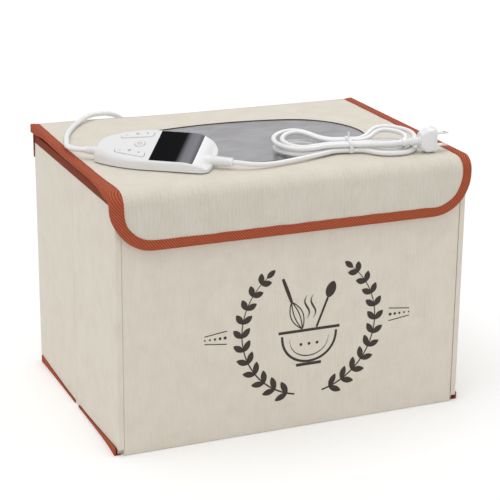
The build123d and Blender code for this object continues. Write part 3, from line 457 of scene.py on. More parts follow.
def lining(name, node, body, out):
    """A sheet of foil-faced foam whose inner face is quilted in diamonds."""
    low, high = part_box(node)
    width = high.x - low.x if abs(out.y) > 0.5 else high.y - low.y
    height = high.z - low.z
    thick = (high - low).dot(Vector([abs(v) for v in out])) - 0.0003
    bm = bmesh.new()
    bmesh.ops.create_grid(bm, x_segments=round(width / 0.0045), y_segments=round(height / 0.0045), size=0.5)
    bmesh.ops.scale(bm, vec=(width - 0.0024, height - 0.0004, 1.0), verts=bm.verts)
    for vert in bm.verts:
        vert.co.z = quilt(vert.co.x, vert.co.y)
    top = bmesh.ops.extrude_face_region(bm, geom=bm.faces)["geom"]
    lifted = [g for g in top if isinstance(g, bmesh.types.BMVert)]
    for vert in lifted:
        vert.co.z = thick
    bmesh.ops.recalc_face_normals(bm, faces=bm.faces)
    up = Vector((0, 0, 1))
    turn = Matrix((up.cross(out), up, out)).transposed().to_4x4()
    inner = (low + high) / 2 - out * (thick / 2 + 0.00015)
    bmesh.ops.transform(bm, matrix=Matrix.Translation(inner) @ turn, verts=bm.verts)
    made = piece(name, bm, foil, crisp=70)
    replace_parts(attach(made, body), node)


for wall, body, out, seed in walls:
    wall_cover(f"{wall}_wall_cloth", f"{wall}_cover", body, out, seed)
    lining(f"{wall}_lining", f"{wall}_liner", body, out)
    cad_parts[f"{wall}_board"].data.materials[0] = chipboard

# rim tapes, folded over the walls' top edges; all of them are a darker copy of the tape, as painted shade under the
# lid's overhang
rim_z = 0.2637
shaded_tape = rust_twill("rust tape, painted shade", (0.0, 0.0, 0.7), painted_shade_scale=0.58)
for wall, body, out, seed in walls:
    low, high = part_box(f"{wall}_cover")
    cross = abs(out.y) > 0.5
    reach = 0.0030 if cross else 0.0088

    def over_rim(around, along, low=low, high=high, out=out, cross=cross, reach=reach):
        ring = [(0.00035, -reach), (0.00045, -0.0008), (0.0001, 0.00012), (-wall_thick, 0.00012),
                (-wall_thick - 0.0002, -0.0008), (-wall_thick - 0.0002, -reach),
                (-wall_thick + 0.0001, -reach), (-wall_thick + 0.0001, -0.0002),
                (-0.0001, -0.0002), (-0.0001, -reach)]
        off, up = ring[round(around * 10) % 10]
        if up == -reach:
            up += 0.0003 * noise.noise(Vector((along * 14.0, seed, 0.0)))
        face = {0: low.y if out.y < 0 else high.y, 1: low.x if out.x < 0 else high.x}[0 if cross else 1]
        spot = face + (out.y if cross else out.x) * off
        run = (low.x + (high.x - low.x) * along) if cross else (low.y + (high.y - low.y) * along)
        return Vector((run, spot, rim_z + up)) if cross else Vector((spot, run, rim_z + up))

    bm = laid("rim", 10, 36, over_rim, closed=True)
    bmesh.ops.holes_fill(bm, edges=bm.edges, sides=0)
    bmesh.ops.recalc_face_normals(bm, faces=bm.faces)
    rim_tape = piece(f"{wall}_rim_tape", bm, shaded_tape)
    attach(rim_tape, body)


# tails of the rim tapes, turned down over the walls' rear ends
for side, body in ((-1, "left_rear_wall"), (1, "right_rear_wall")):
    def tail(around, along, side=side):
        reach = 0.0042 * (1 - along) ** 0.8 + 0.0004
        ring = [(0.00040, -reach), (0.00045, -0.0004), (0.0001, 0.00035), (-0.0050, 0.00035),
                (-0.0050, 0.0), (-0.0002, -0.0003)]
        off, back = ring[round(around * 6) % 6]
        return Vector((side * (0.1908 + off), 0.1416 + back, 0.2634 - 0.0255 * along))

    bm = laid("tail", 6, 8, tail, closed=True)
    bmesh.ops.holes_fill(bm, edges=bm.edges, sides=0)
    bmesh.ops.recalc_face_normals(bm, faces=bm.faces)
    corner = piece(f"{body}_corner_tape", bm, edge_tape)
    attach(corner, body)


# ---------------------------------------------------------------------------------------------------------
# Lid and flap: one cream cloth cover over a foam pad, from the hinge at the back over the soft front fold
# and down to the flap's rounded lower edge, with an oval hole for the window.
# ---------------------------------------------------------------------------------------------------------
lid_rear, lid_top = 0.1416, 0.2720
bend_y, bend_z, bend_r = -0.1267, 0.2580, 0.0140
top_run = lid_rear - bend_y
bend_run = bend_r * pi / 2
flap_run = bend_z - 0.2135
cover_run = top_run + bend_run + flap_run
lid_half = 0.1928
corner_r = 0.041
window_y = 0.0041


def corner_lift(x, y):
    """How far the lid's left rear corner stands up, as the lead pulls on it."""
    back = min(1.0, max(0.0, (y - 0.01) / 0.12))
    left = min(1.0, max(0.0, (-0.03 - x) / 0.12))
    return 0.0021 * back * back * (3 - 2 * back) * left * left * (3 - 2 * left)


def skew(x, y):
    """The lid is a touch narrower in front: its right front corner stands further in than its rear one."""
    return -0.0027 * min(1.0, max(0.0, (lid_rear - y) / 0.27)) * min(1.0, max(0.0, 0.5 + x / 0.38))


def over_lid(x, s, depth):
    """A place of the lid's cover: s runs from the rear edge forward and down the flap, depth into the pad."""
    x += skew(x, lid_rear - s)
    if s < top_run:
        return Vector((x, lid_rear - s, lid_top + corner_lift(x, lid_rear - s) - depth))
    if s < top_run + bend_run:
        angle = (s - top_run) / bend_r
        return Vector((x, bend_y - (bend_r - depth) * sin(angle), bend_z + (bend_r - depth) * cos(angle)))
    return Vector((x, bend_y - bend_r + depth, bend_z - (s - top_run - bend_run)))


def from_window(x, y):
    """Distance outside the window's edge, and the direction away from it; the oval has four arcs."""
    half_x, half_y = abs(x), abs(y - window_y)
    if half_x * 0.25364 > (half_y + 0.25364) * 0.060:
        away = Vector((half_x - 0.060, half_y))
        gap = away.length - 0.076
    else:
        away = Vector((half_x, half_y + 0.25364))
        gap = away.length - 0.33664
    away.normalize()
    return gap, Vector((away.x if x >= 0 else -away.x, away.y if y >= window_y else -away.y))


def from_edge(x, s):
    """Distance inside the cover's sides and rounded lower edge, and the direction towards the edge."""
    inner_x, inner_s = lid_half - corner_r, cover_run - corner_r
    if abs(x) > inner_x and s > inner_s:
        away = Vector((abs(x) - inner_x, s - inner_s))
        gap = corner_r - away.length
        away.normalize()
    elif lid_half - abs(x) < cover_run - s:
        gap, away = lid_half - abs(x), Vector((1.0, 0.0))
    else:
        gap, away = cover_run - s, Vector((0.0, 1.0))
    return gap, Vector((away.x if x >= 0 else -away.x, away.y))


def pad_dip(x, s):
    """How far the cover lies below the pad's full height: pulled in at its seams, with slow swells between."""
    edge = max(0.0, from_edge(x, s)[0])
    dip = 0.0011 * exp(-edge / 0.007)
    if s < top_run:
        dip += 0.0010 * exp(-max(0.0, from_window(x, lid_rear - s)[0]) / 0.008)
    swell = noise.noise(Vector((x * 9.0, s * 12.0, 5.3)))
    return dip + 0.00035 * (1 + swell)


def lid_sheet(cell, depth_at, hole, name):
    """A sheet in the cover's outline, trimmed round the window and the flap's corners and laid over the lid."""
    bm = bmesh.new()
    bmesh.ops.create_grid(bm, x_segments=round(2 * lid_half / cell), y_segments=round(cover_run / cell), size=0.5)
    bmesh.ops.scale(bm, vec=(2 * lid_half, cover_run, 1.0), verts=bm.verts)
    bmesh.ops.translate(bm, vec=(0, cover_run / 2, 0), verts=bm.verts)

    def off(place):
        gap = from_edge(place.x, place.y)[0]
        if place.y < top_run:
            gap = min(gap, from_window(place.x, lid_rear - place.y)[0] - hole)
        return gap

    bmesh.ops.delete(bm, geom=[f for f in bm.faces if off(f.calc_center_median()) < 0], context="FACES")
    for vert in bm.verts:
        if not vert.is_boundary:
            continue
        if vert.co.y < top_run:
            gap, away = from_window(vert.co.x, lid_rear - vert.co.y)
            if abs(gap - hole) < 2 * cell:
                vert.co.x -= (gap - hole) * away.x
                vert.co.y += (gap - hole) * away.y
        gap, away = from_edge(vert.co.x, vert.co.y)
        if gap < 2 * cell and vert.co.y > cell:
            vert.co.x += gap * away.x
            vert.co.y += gap * away.y
    for vert in bm.verts:
        vert.co = over_lid(vert.co.x, vert.co.y, depth_at(vert.co.x, vert.co.y))
    bmesh.ops.recalc_face_normals(bm, faces=bm.faces)
    if sum(f.normal.z * f.calc_area() for f in bm.faces) < 0:
        bmesh.ops.reverse_faces(bm, faces=bm.faces)
    return bm


lid_cloth, tree, shader = finish("cream cloth, lid", 0.88)
shader.inputs["Sheen Weight"].default_value = 0.12
shader.inputs["Sheen Roughness"].default_value = 0.5
clouds = pattern(tree, "ShaderNodeTexNoise", (9.0, 9.0, 9.0), Detail=3.0, Roughness=0.6)
threads = pattern(tree, "ShaderNodeTexNoise", (260.0, 14.0, 14.0), Detail=2.0)
cords = pattern(tree, "ShaderNodeTexWave", (1.0, 1.0, 1.0), (0.0, 0.0, 0.0), Scale=78.0, Distortion=1.2,
                Detail=2.0, Detail_Scale=0.6)
fibres = pattern(tree, "ShaderNodeTexNoise", (1500.0, 1500.0, 1500.0), Detail=2.0, Roughness=0.7)
tone = blended(tree, blended(tree, clouds.outputs["Fac"], threads.outputs["Fac"], 0.45),
               fibres.outputs["Fac"], 0.2)
shades(tree, shader, tone, [(0.30, (0.680, 0.622, 0.525)), (0.52, (0.752, 0.700, 0.602)),
                            (0.72, (0.792, 0.748, 0.660))])
spot = tree.nodes.new("ShaderNodeTexCoord")
axes = tree.nodes.new("ShaderNodeSeparateXYZ")
front = tree.nodes.new("ShaderNodeMapRange")
front.inputs["From Min"].default_value = -0.120
front.inputs["From Max"].default_value = -0.1395
ribbed = tree.nodes.new("ShaderNodeMath")
ribbed.operation = "MULTIPLY"
tree.links.new(spot.outputs["Object"], axes.inputs["Vector"])
tree.links.new(axes.outputs["Y"], front.inputs["Value"])
tree.links.new(front.outputs["Result"], ribbed.inputs[0])
tree.links.new(cords.outputs["Fac"], ribbed.inputs[1])
ribs = relief(tree, shader, ribbed.outputs["Value"], 0.00045)
fine = relief(tree, shader, threads.outputs["Fac"], 0.0003, under=ribs)
relief(tree, shader, fibres.outputs["Fac"], 0.0001, under=fine)

bm = lid_sheet(0.004, pad_dip, 0.0, "cover")
bmesh.ops.solidify(bm, geom=bm.faces, thickness=0.0010)
lid_cover = piece("lid_and_flap_cloth", bm, lid_cloth, crisp=70)
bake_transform(lid_cover)
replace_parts(lid_cover, "lid_cover", "flap_cover")

foam, tree, shader = finish("white foam", 0.95)
cells = pattern(tree, "ShaderNodeTexVoronoi", (700.0, 700.0, 700.0))
shades(tree, shader, cells.outputs["Distance"], [(0.1, (0.62, 0.61, 0.58)), (0.6, (0.78, 0.77, 0.74))])
relief(tree, shader, cells.outputs["Distance"], 0.0003)


def under_cloth(x, s):
    return pad_dip(x, s) + 0.0013


bm = lid_sheet(0.008, under_cloth, 0.0083, "foam")
solid = bmesh.ops.extrude_face_region(bm, geom=bm.faces)["geom"]
for vert in (g for g in solid if isinstance(g, bmesh.types.BMVert)):
    if vert.co.z > bend_z and vert.co.y > bend_y:
        vert.co.z = 0.2654 + corner_lift(vert.co.x, vert.co.y)
    elif vert.co.z > bend_z:
        out = Vector((0, vert.co.y - bend_y, vert.co.z - bend_z))
        inward = out.normalized() * 0.0106
        vert.co.y, vert.co.z = bend_y + inward.y, min(bend_z + inward.z, 0.2662)
    else:
        vert.co.y = bend_y - bend_r + 0.0048
for vert in bm.verts:
    if vert.co.y > bend_y:
        vert.co.x = max(-0.1838, min(0.1838 + skew(0.19, vert.co.y), vert.co.x))
bmesh.ops.dissolve_degenerate(bm, dist=1e-5, edges=bm.edges)
bmesh.ops.recalc_face_normals(bm, faces=bm.faces)
foam_pad = piece("lid_and_flap_foam", bm, foam, crisp=60)
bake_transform(foam_pad)
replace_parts(foam_pad, "lid_foam", "flap_foam")

# the lid's underside is a quilted foil sheet with the window cut out of it
low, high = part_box("lid_liner")
bm = bmesh.new()
bmesh.ops.create_grid(bm, x_segments=84, y_segments=60, size=0.5)
bmesh.ops.scale(bm, vec=(0.3676, high.y - low.y, 1.0), verts=bm.verts)
bmesh.ops.translate(bm, vec=((low.x + high.x) / 2, (low.y + high.y) / 2, 0), verts=bm.verts)
painted_shade_strip = 0.002
bmesh.ops.delete(bm, geom=[f for f in bm.faces if from_window(*f.calc_center_median().xy)[0] < painted_shade_strip],
                 context="FACES")
for vert in bm.verts:
    gap, away = from_window(vert.co.x, vert.co.y)
    if vert.is_boundary and gap < 0.008:
        vert.co.xy -= (gap - painted_shade_strip) * away
    vert.co.z = low.z + 0.0001 + min(quilt(vert.co.x, vert.co.y), 0.0008)
top = bmesh.ops.extrude_face_region(bm, geom=bm.faces)["geom"]
for vert in (g for g in top if isinstance(g, bmesh.types.BMVert)):
    vert.co.z = high.z - 0.0001
for vert in bm.verts:
    vert.co.x += skew(vert.co.x, vert.co.y)
bmesh.ops.recalc_face_normals(bm, faces=bm.faces)
underside = piece("lid_foil_underside", bm, foil, crisp=70)
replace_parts(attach(underside, "lid"), "lid_liner")


# ---------------------------------------------------------------------------------------------------------
# Lid binding: a rust twill tape folded round the raw edge of the lid's sides and the flap, sewn through
# with two rows of rust thread. It is one tape, which turns down with the flap.
# ---------------------------------------------------------------------------------------------------------
inner_x, inner_s = lid_half - corner_r, cover_run - corner_r
straight = inner_s
turn_run = corner_r * pi / 2
bottom_run = 2 * inner_x
tape_run = 2 * straight + 2 * turn_run + bottom_run


def tape_line(along):
    """A place on the cover's outline, and the direction into the cover, from the lid's left rear corner round."""
    run = along * tape_run
    if run < straight:
        return -lid_half, run, Vector((1.0, 0.0))
    run -= straight
    if run < turn_run:
        angle = run / corner_r
        into = Vector((cos(angle), -sin(angle)))
        return -inner_x - corner_r * into.x, inner_s - corner_r * into.y, into
    run -= turn_run
    if run < bottom_run:
        return -inner_x + run, cover_run, Vector((0.0, -1.0))
    run -= bottom_run
    if run < turn_run:
        angle = pi / 2 - run / corner_r
        into = Vector((-cos(angle), -sin(angle)))
        return inner_x - corner_r * into.x, inner_s - corner_r * into.y, into
    run -= turn_run
    return lid_half, inner_s - run, Vector((-1.0, 0.0))


def edge_depth(s):
    """Height of the tape round the pad's edge: it lifts off the wall along the lid's side, and is thin on the flap."""
    if s < top_run:
        share = max(0.0, min(1.0, (s - 0.004) / 0.05, (top_run - 0.004 - s) / 0.022))
        return 0.0079 - 0.0041 * share * share * (3 - 2 * share)
    share = min(1.0, (s - top_run) / bend_run)
    return 0.0079 + (0.0050 - 0.0079) * share


def folded_tape(around, along):
    """Section of the folded tape: wide leg on the face, round the edge, short leg behind."""
    x, s, into = tape_line(along)
    depth = edge_depth(s)
    wander = 0.0007 * noise.noise(Vector((along * 50.0, 1.7, 0.0)))
    puff = 0.0004 * noise.noise(Vector((along * 110.0, 4.2, 0.0)))
    depth += 0.0004 * noise.noise(Vector((along * 70.0, 6.1, 0.0)))
    under = 0.0060 if s < top_run - 0.004 else 0.0026
    wide = 0.0
    if x < -0.15:
        rise = min(1.0, max(0.0, (s - top_run + 0.07) / 0.06))
        fall = min(1.0, max(0.0, (top_run + bend_run + 0.030 - s) / 0.030))
        wide = 0.0026 * rise * rise * (3 - 2 * rise) * fall * fall * (3 - 2 * fall)
    leg = 0.0088 + wander + wide * 0.5
    ring = [(leg + 0.0002, -0.0010), (leg + 0.0004, -0.0003), (leg, 0.0000), (0.0060, 0.0005 + puff),
            (0.0030 - wide * 0.5, 0.0008 + puff), (0.0004 - wide, 0.0008), (-0.0006 - wide, 0.0004),
            (-0.0010 - wide, -0.0006), (-0.0010 - wide - puff, -depth / 2), (-0.0010 - wide, -depth + 0.0002),
            (-0.0007 - wide, -depth - 0.0004), (under, -depth - 0.0004), (under, -depth),
            (0.0001 - wide, -depth), (0.0001 - wide, -0.0012)]
    inward, height = ring[round(around * 15) % 15]
    return over_lid(x + into.x * inward, s + into.y * inward, -height)


bm = laid("tape", 15, 330, folded_tape, closed=True)
bmesh.ops.holes_fill(bm, edges=[e for e in bm.edges if e.is_boundary], sides=0)
bmesh.ops.recalc_face_normals(bm, faces=bm.faces)
lid_tape = piece("lid_and_flap_tape", bm, edge_tape, crisp=55)
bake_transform(lid_tape)
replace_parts(lid_tape, "lid_binding", "flap_binding")

thread, tree, shader = finish("rust thread", 0.6)
twist = pattern(tree, "ShaderNodeTexWave", (1.0, 1.0, 1.0), (0.3, 0.5, 0.2), Scale=500.0)
shades(tree, shader, twist.outputs["Fac"], [(0.3, (0.26, 0.050, 0.025)), (0.8, (0.47, 0.12, 0.065))])

bm = bmesh.new()
stitch = 0.0034
for row, inward, height in ((0, 0.0022, 0.00085), (1, 0.0078, 0.0004)):
    count = int(tape_run / stitch)
    for n in range(count):
        ends = []
        for share in (n + 0.12, n + 0.88):
            x, s, into = tape_line(share / count)
            ends.append(over_lid(x + into.x * inward, s + into.y * inward, -height))
        run = ends[1] - ends[0]
        turn = run.to_track_quat("X", "Z").to_matrix().to_4x4()
        grow = Matrix.Diagonal((run.length / 2, 0.00022, 0.00022, 1.0))
        bmesh.ops.create_uvsphere(bm, u_segments=5, v_segments=4, radius=1.0,
                                  matrix=Matrix.Translation((ends[0] + ends[1]) / 2) @ turn @ grow)
lid_stitches = piece("lid_and_flap_stitches", bm, thread)
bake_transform(lid_stitches)


# ---------------------------------------------------------------------------------------------------------
# Window: a sheet of soft clear film, greyed by the foil inside, sewn behind the oval hole, and a thin
# dark brown cord edging round the hole.
# ---------------------------------------------------------------------------------------------------------
def window_edge(share, grow):
    """A place on the window's outline, grown outwards."""
    angle = 2 * pi * share
    way = Vector((cos(angle), sin(angle)))
    reach = 0.1
    for _ in range(30):
        reach -= from_window(way.x * reach, window_y + way.y * reach)[0] - grow
    return Vector((way.x * reach, window_y + way.y * reach))


def film_place(around, out):
    edge = window_edge(around, 0.0078)
    middle = Vector((0.0, window_y))
    spot = middle + (edge - middle) * out
    sag = 0.0012 * (1 - out * out)
    ripple = 0.00012 * noise.noise(Vector((spot.x * 12.0, spot.y * 16.0, 2.2))) * (1 - out ** 6)
    return Vector((spot.x + skew(spot.x, spot.y), spot.y, 0.27055 - sag + ripple))


film, tree, shader = finish("soft clear film", 0.22)
shader.inputs["Transmission Weight"].default_value = 0.35
shader.inputs["IOR"].default_value = 1.35
haze = pattern(tree, "ShaderNodeTexNoise", (7.0, 12.0, 7.0), (0.0, 0.0, 0.3), Detail=1.0)
shades(tree, shader, haze.outputs["Fac"], [(0.35, (0.320, 0.308, 0.325)), (0.65, (0.400, 0.388, 0.408))])
relief(tree, shader, haze.outputs["Fac"], 0.0004)
bm = laid("film", 96, 16, film_place, closed=True)
bmesh.ops.recalc_face_normals(bm, faces=bm.faces)
if sum(f.normal.z for f in bm.faces) < 0:
    bmesh.ops.reverse_faces(bm, faces=bm.faces)
bmesh.ops.solidify(bm, geom=bm.faces, thickness=0.0003)
window = piece("window_sheet", bm, film, crisp=60)
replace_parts(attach(window, "lid"), "window_film")

# dark brown for the window's cord edging; the same colour is also painted shade on the strips along the lid's sides
piping_and_shade, tree, shader = finish("dark brown piping and painted shade", 0.7)
wound = pattern(tree, "ShaderNodeTexNoise", (500.0, 500.0, 500.0))
shades(tree, shader, wound.outputs["Fac"], [(0.4, (0.050, 0.028, 0.020)), (0.6, (0.090, 0.052, 0.036))])


def edging_place(around, along):
    edge = window_edge(along, 0.0001)
    away = (edge - Vector((0.0, window_y))).normalized()
    angle = 2 * pi * around
    return Vector((edge.x + skew(edge.x, edge.y) + away.x * 0.0006 * cos(angle), edge.y + away.y * 0.0006 * cos(angle),
                   0.27075 + 0.0006 * sin(angle)))


bm = laid("piping_and_shade", 8, 160, edging_place, closed=True)
bmesh.ops.recalc_face_normals(bm, faces=bm.faces)
window_rim = piece("window_edging", bm, piping_and_shade)
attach(window_rim, "lid")

# painted shade: dark strips along the pad's two sides, under the tape, standing in for the shade in the gap above the
# rim tapes
for side, label in ((-1, "left"), (1, "right")):
    def shade_strip_place(around, along, side=side):
        off, z = [(0.1846, 0.2643), (0.1903, 0.2643), (0.1903, 0.2684), (0.1846, 0.2684)][round(around * 4) % 4]
        y = 0.1290 + (-0.1215 - 0.1290) * along
        return Vector((side * off + skew(side * off, y), y, z + corner_lift(side * off, y)))

    bm = laid("painted_shade_strip", 4, 40, shade_strip_place, closed=True)
    bmesh.ops.holes_fill(bm, edges=bm.edges, sides=0)
    bmesh.ops.recalc_face_normals(bm, faces=bm.faces)
    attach(piece(f"lid_{label}_hem", bm, piping_and_shade), "lid")

# cloth hinge over the lid's rear edge and the back wall's rim
hinge_rows = ((0.2717, 0.1925), (0.2690, 0.1925), (0.2668, 0.1925), (0.2650, 0.1925), (0.2640, 0.1853),
              (0.2622, 0.1853), (0.2605, 0.1853), (0.2590, 0.1853))


def hinge_place(around, along):
    count = len(hinge_rows)
    step = round(around * 2 * count) % (2 * count)
    z, half = hinge_rows[step if step < count else 2 * count - 1 - step]
    x = half * (2 * along - 1)
    lifted = corner_lift(x, lid_rear) * min(1.0, max(0.0, (z - 0.2640) / 0.0060))
    wave = 0.00015 * noise.noise(Vector((x * 30.0, z * 90.0, 7.7)))
    return Vector((x, lid_rear + (0.0013 if step < count else 0.0007) + wave, z + lifted))


bm = laid("hinge", 2 * len(hinge_rows), 60, hinge_place, closed=True)
bmesh.ops.holes_fill(bm, edges=bm.edges, sides=0)
bmesh.ops.recalc_face_normals(bm, faces=bm.faces)
hinge_strip = piece("lid_hinge_cloth", bm, side_cloth, crisp=60)
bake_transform(hinge_strip)


# ---------------------------------------------------------------------------------------------------------
# Flap fastening: a strip of hook tape behind the flap and a strip of loop tape on the front wall.
# ---------------------------------------------------------------------------------------------------------
hooks, tree, shader = finish("hook and loop tape", 0.9)
barbs = pattern(tree, "ShaderNodeTexVoronoi", (650.0, 650.0, 650.0))
shades(tree, shader, barbs.outputs["Distance"], [(0.1, (0.74, 0.70, 0.62)), (0.6, (0.60, 0.56, 0.48))])
relief(tree, shader, barbs.outputs["Distance"], 0.0005)
for node in ("flap_hook_tape", "front_loop_tape"):
    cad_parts[node].data.materials[0] = hooks


# ---------------------------------------------------------------------------------------------------------
# Handset: two white moulded shells with a black display window that rolls down over the nose, two rocker
# keys and a round power key, and the electronics between them. It lies on the lid, face to the front.
# ---------------------------------------------------------------------------------------------------------
white_shell, tree, shader = finish("white moulded shell", 0.34)
shader.inputs["Specular IOR Level"].default_value = 0.30
skin = pattern(tree, "ShaderNodeTexNoise", (260.0, 260.0, 260.0), Detail=3.0)
shades(tree, shader, skin.outputs["Fac"], [(0.3, (0.800, 0.800, 0.802)), (0.7, (0.830, 0.830, 0.832))])
relief(tree, shader, skin.outputs["Fac"], 0.00004)
heading, tilt = radians(-36.1), radians(18.5)
hs_along = Vector((cos(heading), sin(heading), 0))
hs_across = Vector((-sin(heading), cos(heading), 0))
hs_normal = Vector((0, 0, cos(tilt))) - hs_across * sin(tilt)
hs_up = hs_across * cos(tilt) + Vector((0, 0, sin(tilt)))
hs_base = Vector((-0.1696, -0.0150, 0.2720))
hs_face = hs_base + Vector((0, 0, 0.0193))


def on_face(u, v, height):
    """A place on the handset's face, in millimetres from its narrow end."""
    return hs_face + (hs_along * u + hs_up * v + hs_normal * height) / 1000


# circle through the three points that shape the narrow half, in millimetres
(u0, v0), (u1, v1), (u2, v2) = (0.0, 9.0), (22.0, 21.0), (55.0, 27.6)
lean_0, lean_1 = (u0 - u1) / (v1 - v0), (u1 - u2) / (v2 - v1)
curve_u = ((v1 + v2) / 2 - (v0 + v1) / 2 + lean_0 * (u0 + u1) / 2 - lean_1 * (u1 + u2) / 2) / (lean_0 - lean_1)
curve_v = (v0 + v1) / 2 + lean_0 * (curve_u - (u0 + u1) / 2)
curve_r = hypot(u2 - curve_u, v2 - curve_v)


def half_width(u):
    """Half the handset's width at a distance from its narrow end, in millimetres."""
    if u < 3.6:
        return 4.7 + sqrt(64.0 - (8.0 - u) ** 2)
    if u < 55.0:
        return sqrt(curve_r ** 2 - (u - curve_u) ** 2) + curve_v
    if u < 112.0:
        return 27.6 - 1.0 * (u - 55.0) / 67.0
    return 16.75 + sqrt(max(0.0, 100.0 - (u - 112.0) ** 2))


def face_drop(u):
    """How far the face rolls down at its two ends."""
    if u < 14.0:
        return 26.0 - sqrt(26.0 ** 2 - (14.0 - u) ** 2)
    return 26.0 - sqrt(max(0.0, 26.0 ** 2 - max(0.0, u - 96.0) ** 2))


rows = [("floor", 1.0), ("floor", 0.5), ("floor", 0.12), ("wall", 0.0), ("wall", 0.5)]
rows += [("rim", radians(15 * k)) for k in range(7)]
rows += [("top", k / 14) for k in range(1, 15)]


def handset_skin(around, rise):
    """The closed skin of both shells: up the sides, over the rounded rim and across the sloping face."""
    phase = 2 * pi * around if around <= 0.5 else 2 * pi * (around - 1)
    u = 61.0 * (1 - cos(phase))
    shut = min(1.0, abs(phase) / 0.03, (pi - abs(phase)) / 0.03)
    edge = Vector((u, half_width(u) * shut * (1 if phase > 0 else -1)))
    spine = Vector((min(max(u, 26.0), 96.0), 0.0))
    kind, share = rows[round(rise * (len(rows) - 1))]
    rim_r = 2.2 + 3.8 * min(1.0, max(0.0, (52.0 - u) / 34.0))
    lip = 9.4 * sqrt(max(0.30, 1 - (max(0.0, u - 99.0) / 23.0) ** 3)) * min(1.0, max(0.0, (u - 80.0) / 12.0))
    reach = (spine - edge).length
    if kind == "rim":
        inward, down = rim_r * (1 - cos(share)) / reach, rim_r * (1 - sin(share))
    elif kind == "top":
        start = rim_r / reach
        inward, down = start + (1 - start) * share, 0.0
    else:
        inward, down = (share, 0.0) if kind == "floor" else (0.0, rim_r)
    spot = edge + (spine - edge) * inward
    under = max(0.0, spot.y - 6.0) * 14.0 / 20.5
    over = 19.3 + spot.y * tan(tilt) - face_drop(spot.x) / cos(tilt) - down
    gap = over - under - max(0.0, lip - down)
    over = under + max(0.0, lip - down) + (gap + sqrt(gap * gap + 1.6)) / 2
    if kind == "floor":
        over = under + 0.35 * (share < 0.2)
    elif kind == "wall":
        over = under + 1.2 + (over - under - 1.2) * share
    return hs_base + (hs_along * spot.x + hs_across * spot.y + Vector((0, 0, over))) / 1000


def part_of_skin(keep):
    """The faces of the skin on which keep(u, v, w) holds, cut clean along the parting plane and the display."""
    bm = laid("skin", 168, len(rows) - 1, handset_skin, closed=True)
    bmesh.ops.recalc_face_normals(bm, faces=bm.faces)
    for point, way in ((on_face(0, 0, -6.5), hs_normal), (on_face(62.4, 0, 0), hs_along),
                       (on_face(106.5, 0, 0), hs_along), (on_face(0, 27.0, 0), hs_up), (on_face(0, -27.0, 0), hs_up)):
        bmesh.ops.bisect_plane(bm, geom=bm.verts[:] + bm.edges[:] + bm.faces[:], dist=1e-6,
                               plane_co=point, plane_no=way)
    lost = []
    for face in bm.faces:
        place = (face.calc_center_median() - hs_face) * 1000
        if not keep(place.dot(hs_along), place.dot(hs_up), place.dot(hs_normal)):
            lost.append(face)
    bmesh.ops.delete(bm, geom=lost, context="FACES")
    return bm


def shell_of(bm, thick):
    """Gives a skin its thickness, inwards."""
    bmesh.ops.recalc_face_normals(bm, faces=bm.faces)
    if sum(f.normal.dot(f.calc_center_median() - on_face(60, 0, -9)) * f.calc_area() for f in bm.faces) < 0:
        bmesh.ops.reverse_faces(bm, faces=bm.faces)
    bm.normal_update()
    inward = [(vert, -vert.normal * thick) for vert in bm.verts]
    outer = bmesh.ops.extrude_face_region(bm, geom=bm.faces, use_keep_orig=True)["geom"]
    for vert, step in inward:
        vert.co += step
    bmesh.ops.recalc_face_normals(bm, faces=bm.faces)
    return bm


def in_display(u, v, w):
    return 62.4 < u < 106.5 and abs(v) < 27.0 and w > -6.5


bm = shell_of(part_of_skin(lambda u, v, w: w < -6.5), 0.0016)
lower_shell = piece("lower_shell", bm, white_shell, crisp=50)
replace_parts(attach(lower_shell, "lid"), "handset_lower_shell")

lens, tree, shader = finish("black display window, painted reflection", 0.22)
shader.inputs["IOR"].default_value = 1.07
# painted reflection: the base colour rises from near black to grey along the display's rolled end and falls again, in
# place of the softbox's reflection
spot = tree.nodes.new("ShaderNodeTexCoord")
along = tree.nodes.new("ShaderNodeVectorMath")
along.operation = "DOT_PRODUCT"
along.inputs[1].default_value = hs_along
painted_reflection_band = tree.nodes.new("ShaderNodeMapRange")
painted_reflection_band.inputs["From Min"].default_value = hs_base.dot(hs_along) + 0.0870
painted_reflection_band.inputs["From Max"].default_value = hs_base.dot(hs_along) + 0.1065
tree.links.new(spot.outputs["Object"], along.inputs[0])
tree.links.new(along.outputs["Value"], painted_reflection_band.inputs["Value"])
shades(tree, shader, painted_reflection_band.outputs["Result"], [(0.0, (0.004, 0.004, 0.005)), (0.12, (0.006, 0.006, 0.007)),
                                              (0.42, (0.200, 0.197, 0.218)), (0.75, (0.225, 0.222, 0.240)),
                                              (0.95, (0.130, 0.128, 0.140)), (1.0, (0.020, 0.020, 0.024))])
bm = shell_of(part_of_skin(in_display), 0.0014)
display_window = piece("display_window", bm, lens, crisp=50)
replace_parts(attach(display_window, "lid"), "display_lens")


def key_shape(side, grow):
    """The four corners of a curved key on the face, grown outwards, for the far (1) or near (-1) key."""
    corners = ((24.0 - grow, 8.5 - grow), (56.0 + grow, 15.0 - grow), (56.0 + grow, 23.0 + grow), (24.0 - grow, 16.5 + grow))
    return [(u, side * v) for u, v in corners]


def prism(corners, low, high, round_by):
    """A block on the face between two levels, with its upright edges rounded."""
    bm = bmesh.new()
    foot = bm.faces.new([bm.verts.new(on_face(u, v, low)) for u, v in corners])
    walls = bmesh.ops.extrude_face_region(bm, geom=[foot])["geom"]
    bmesh.ops.translate(bm, vec=hs_normal * (high - low) / 1000,
                        verts=[g for g in walls if isinstance(g, bmesh.types.BMVert)])
    upright = [e for e in bm.edges if abs((e.verts[0].co - e.verts[1].co).normalized().dot(hs_normal)) > 0.99]
    bmesh.ops.bevel(bm, geom=upright, offset=round_by / 1000, segments=8, profile=0.5, affect="EDGES", material=-1)
    bmesh.ops.recalc_face_normals(bm, faces=bm.faces)
    return bm


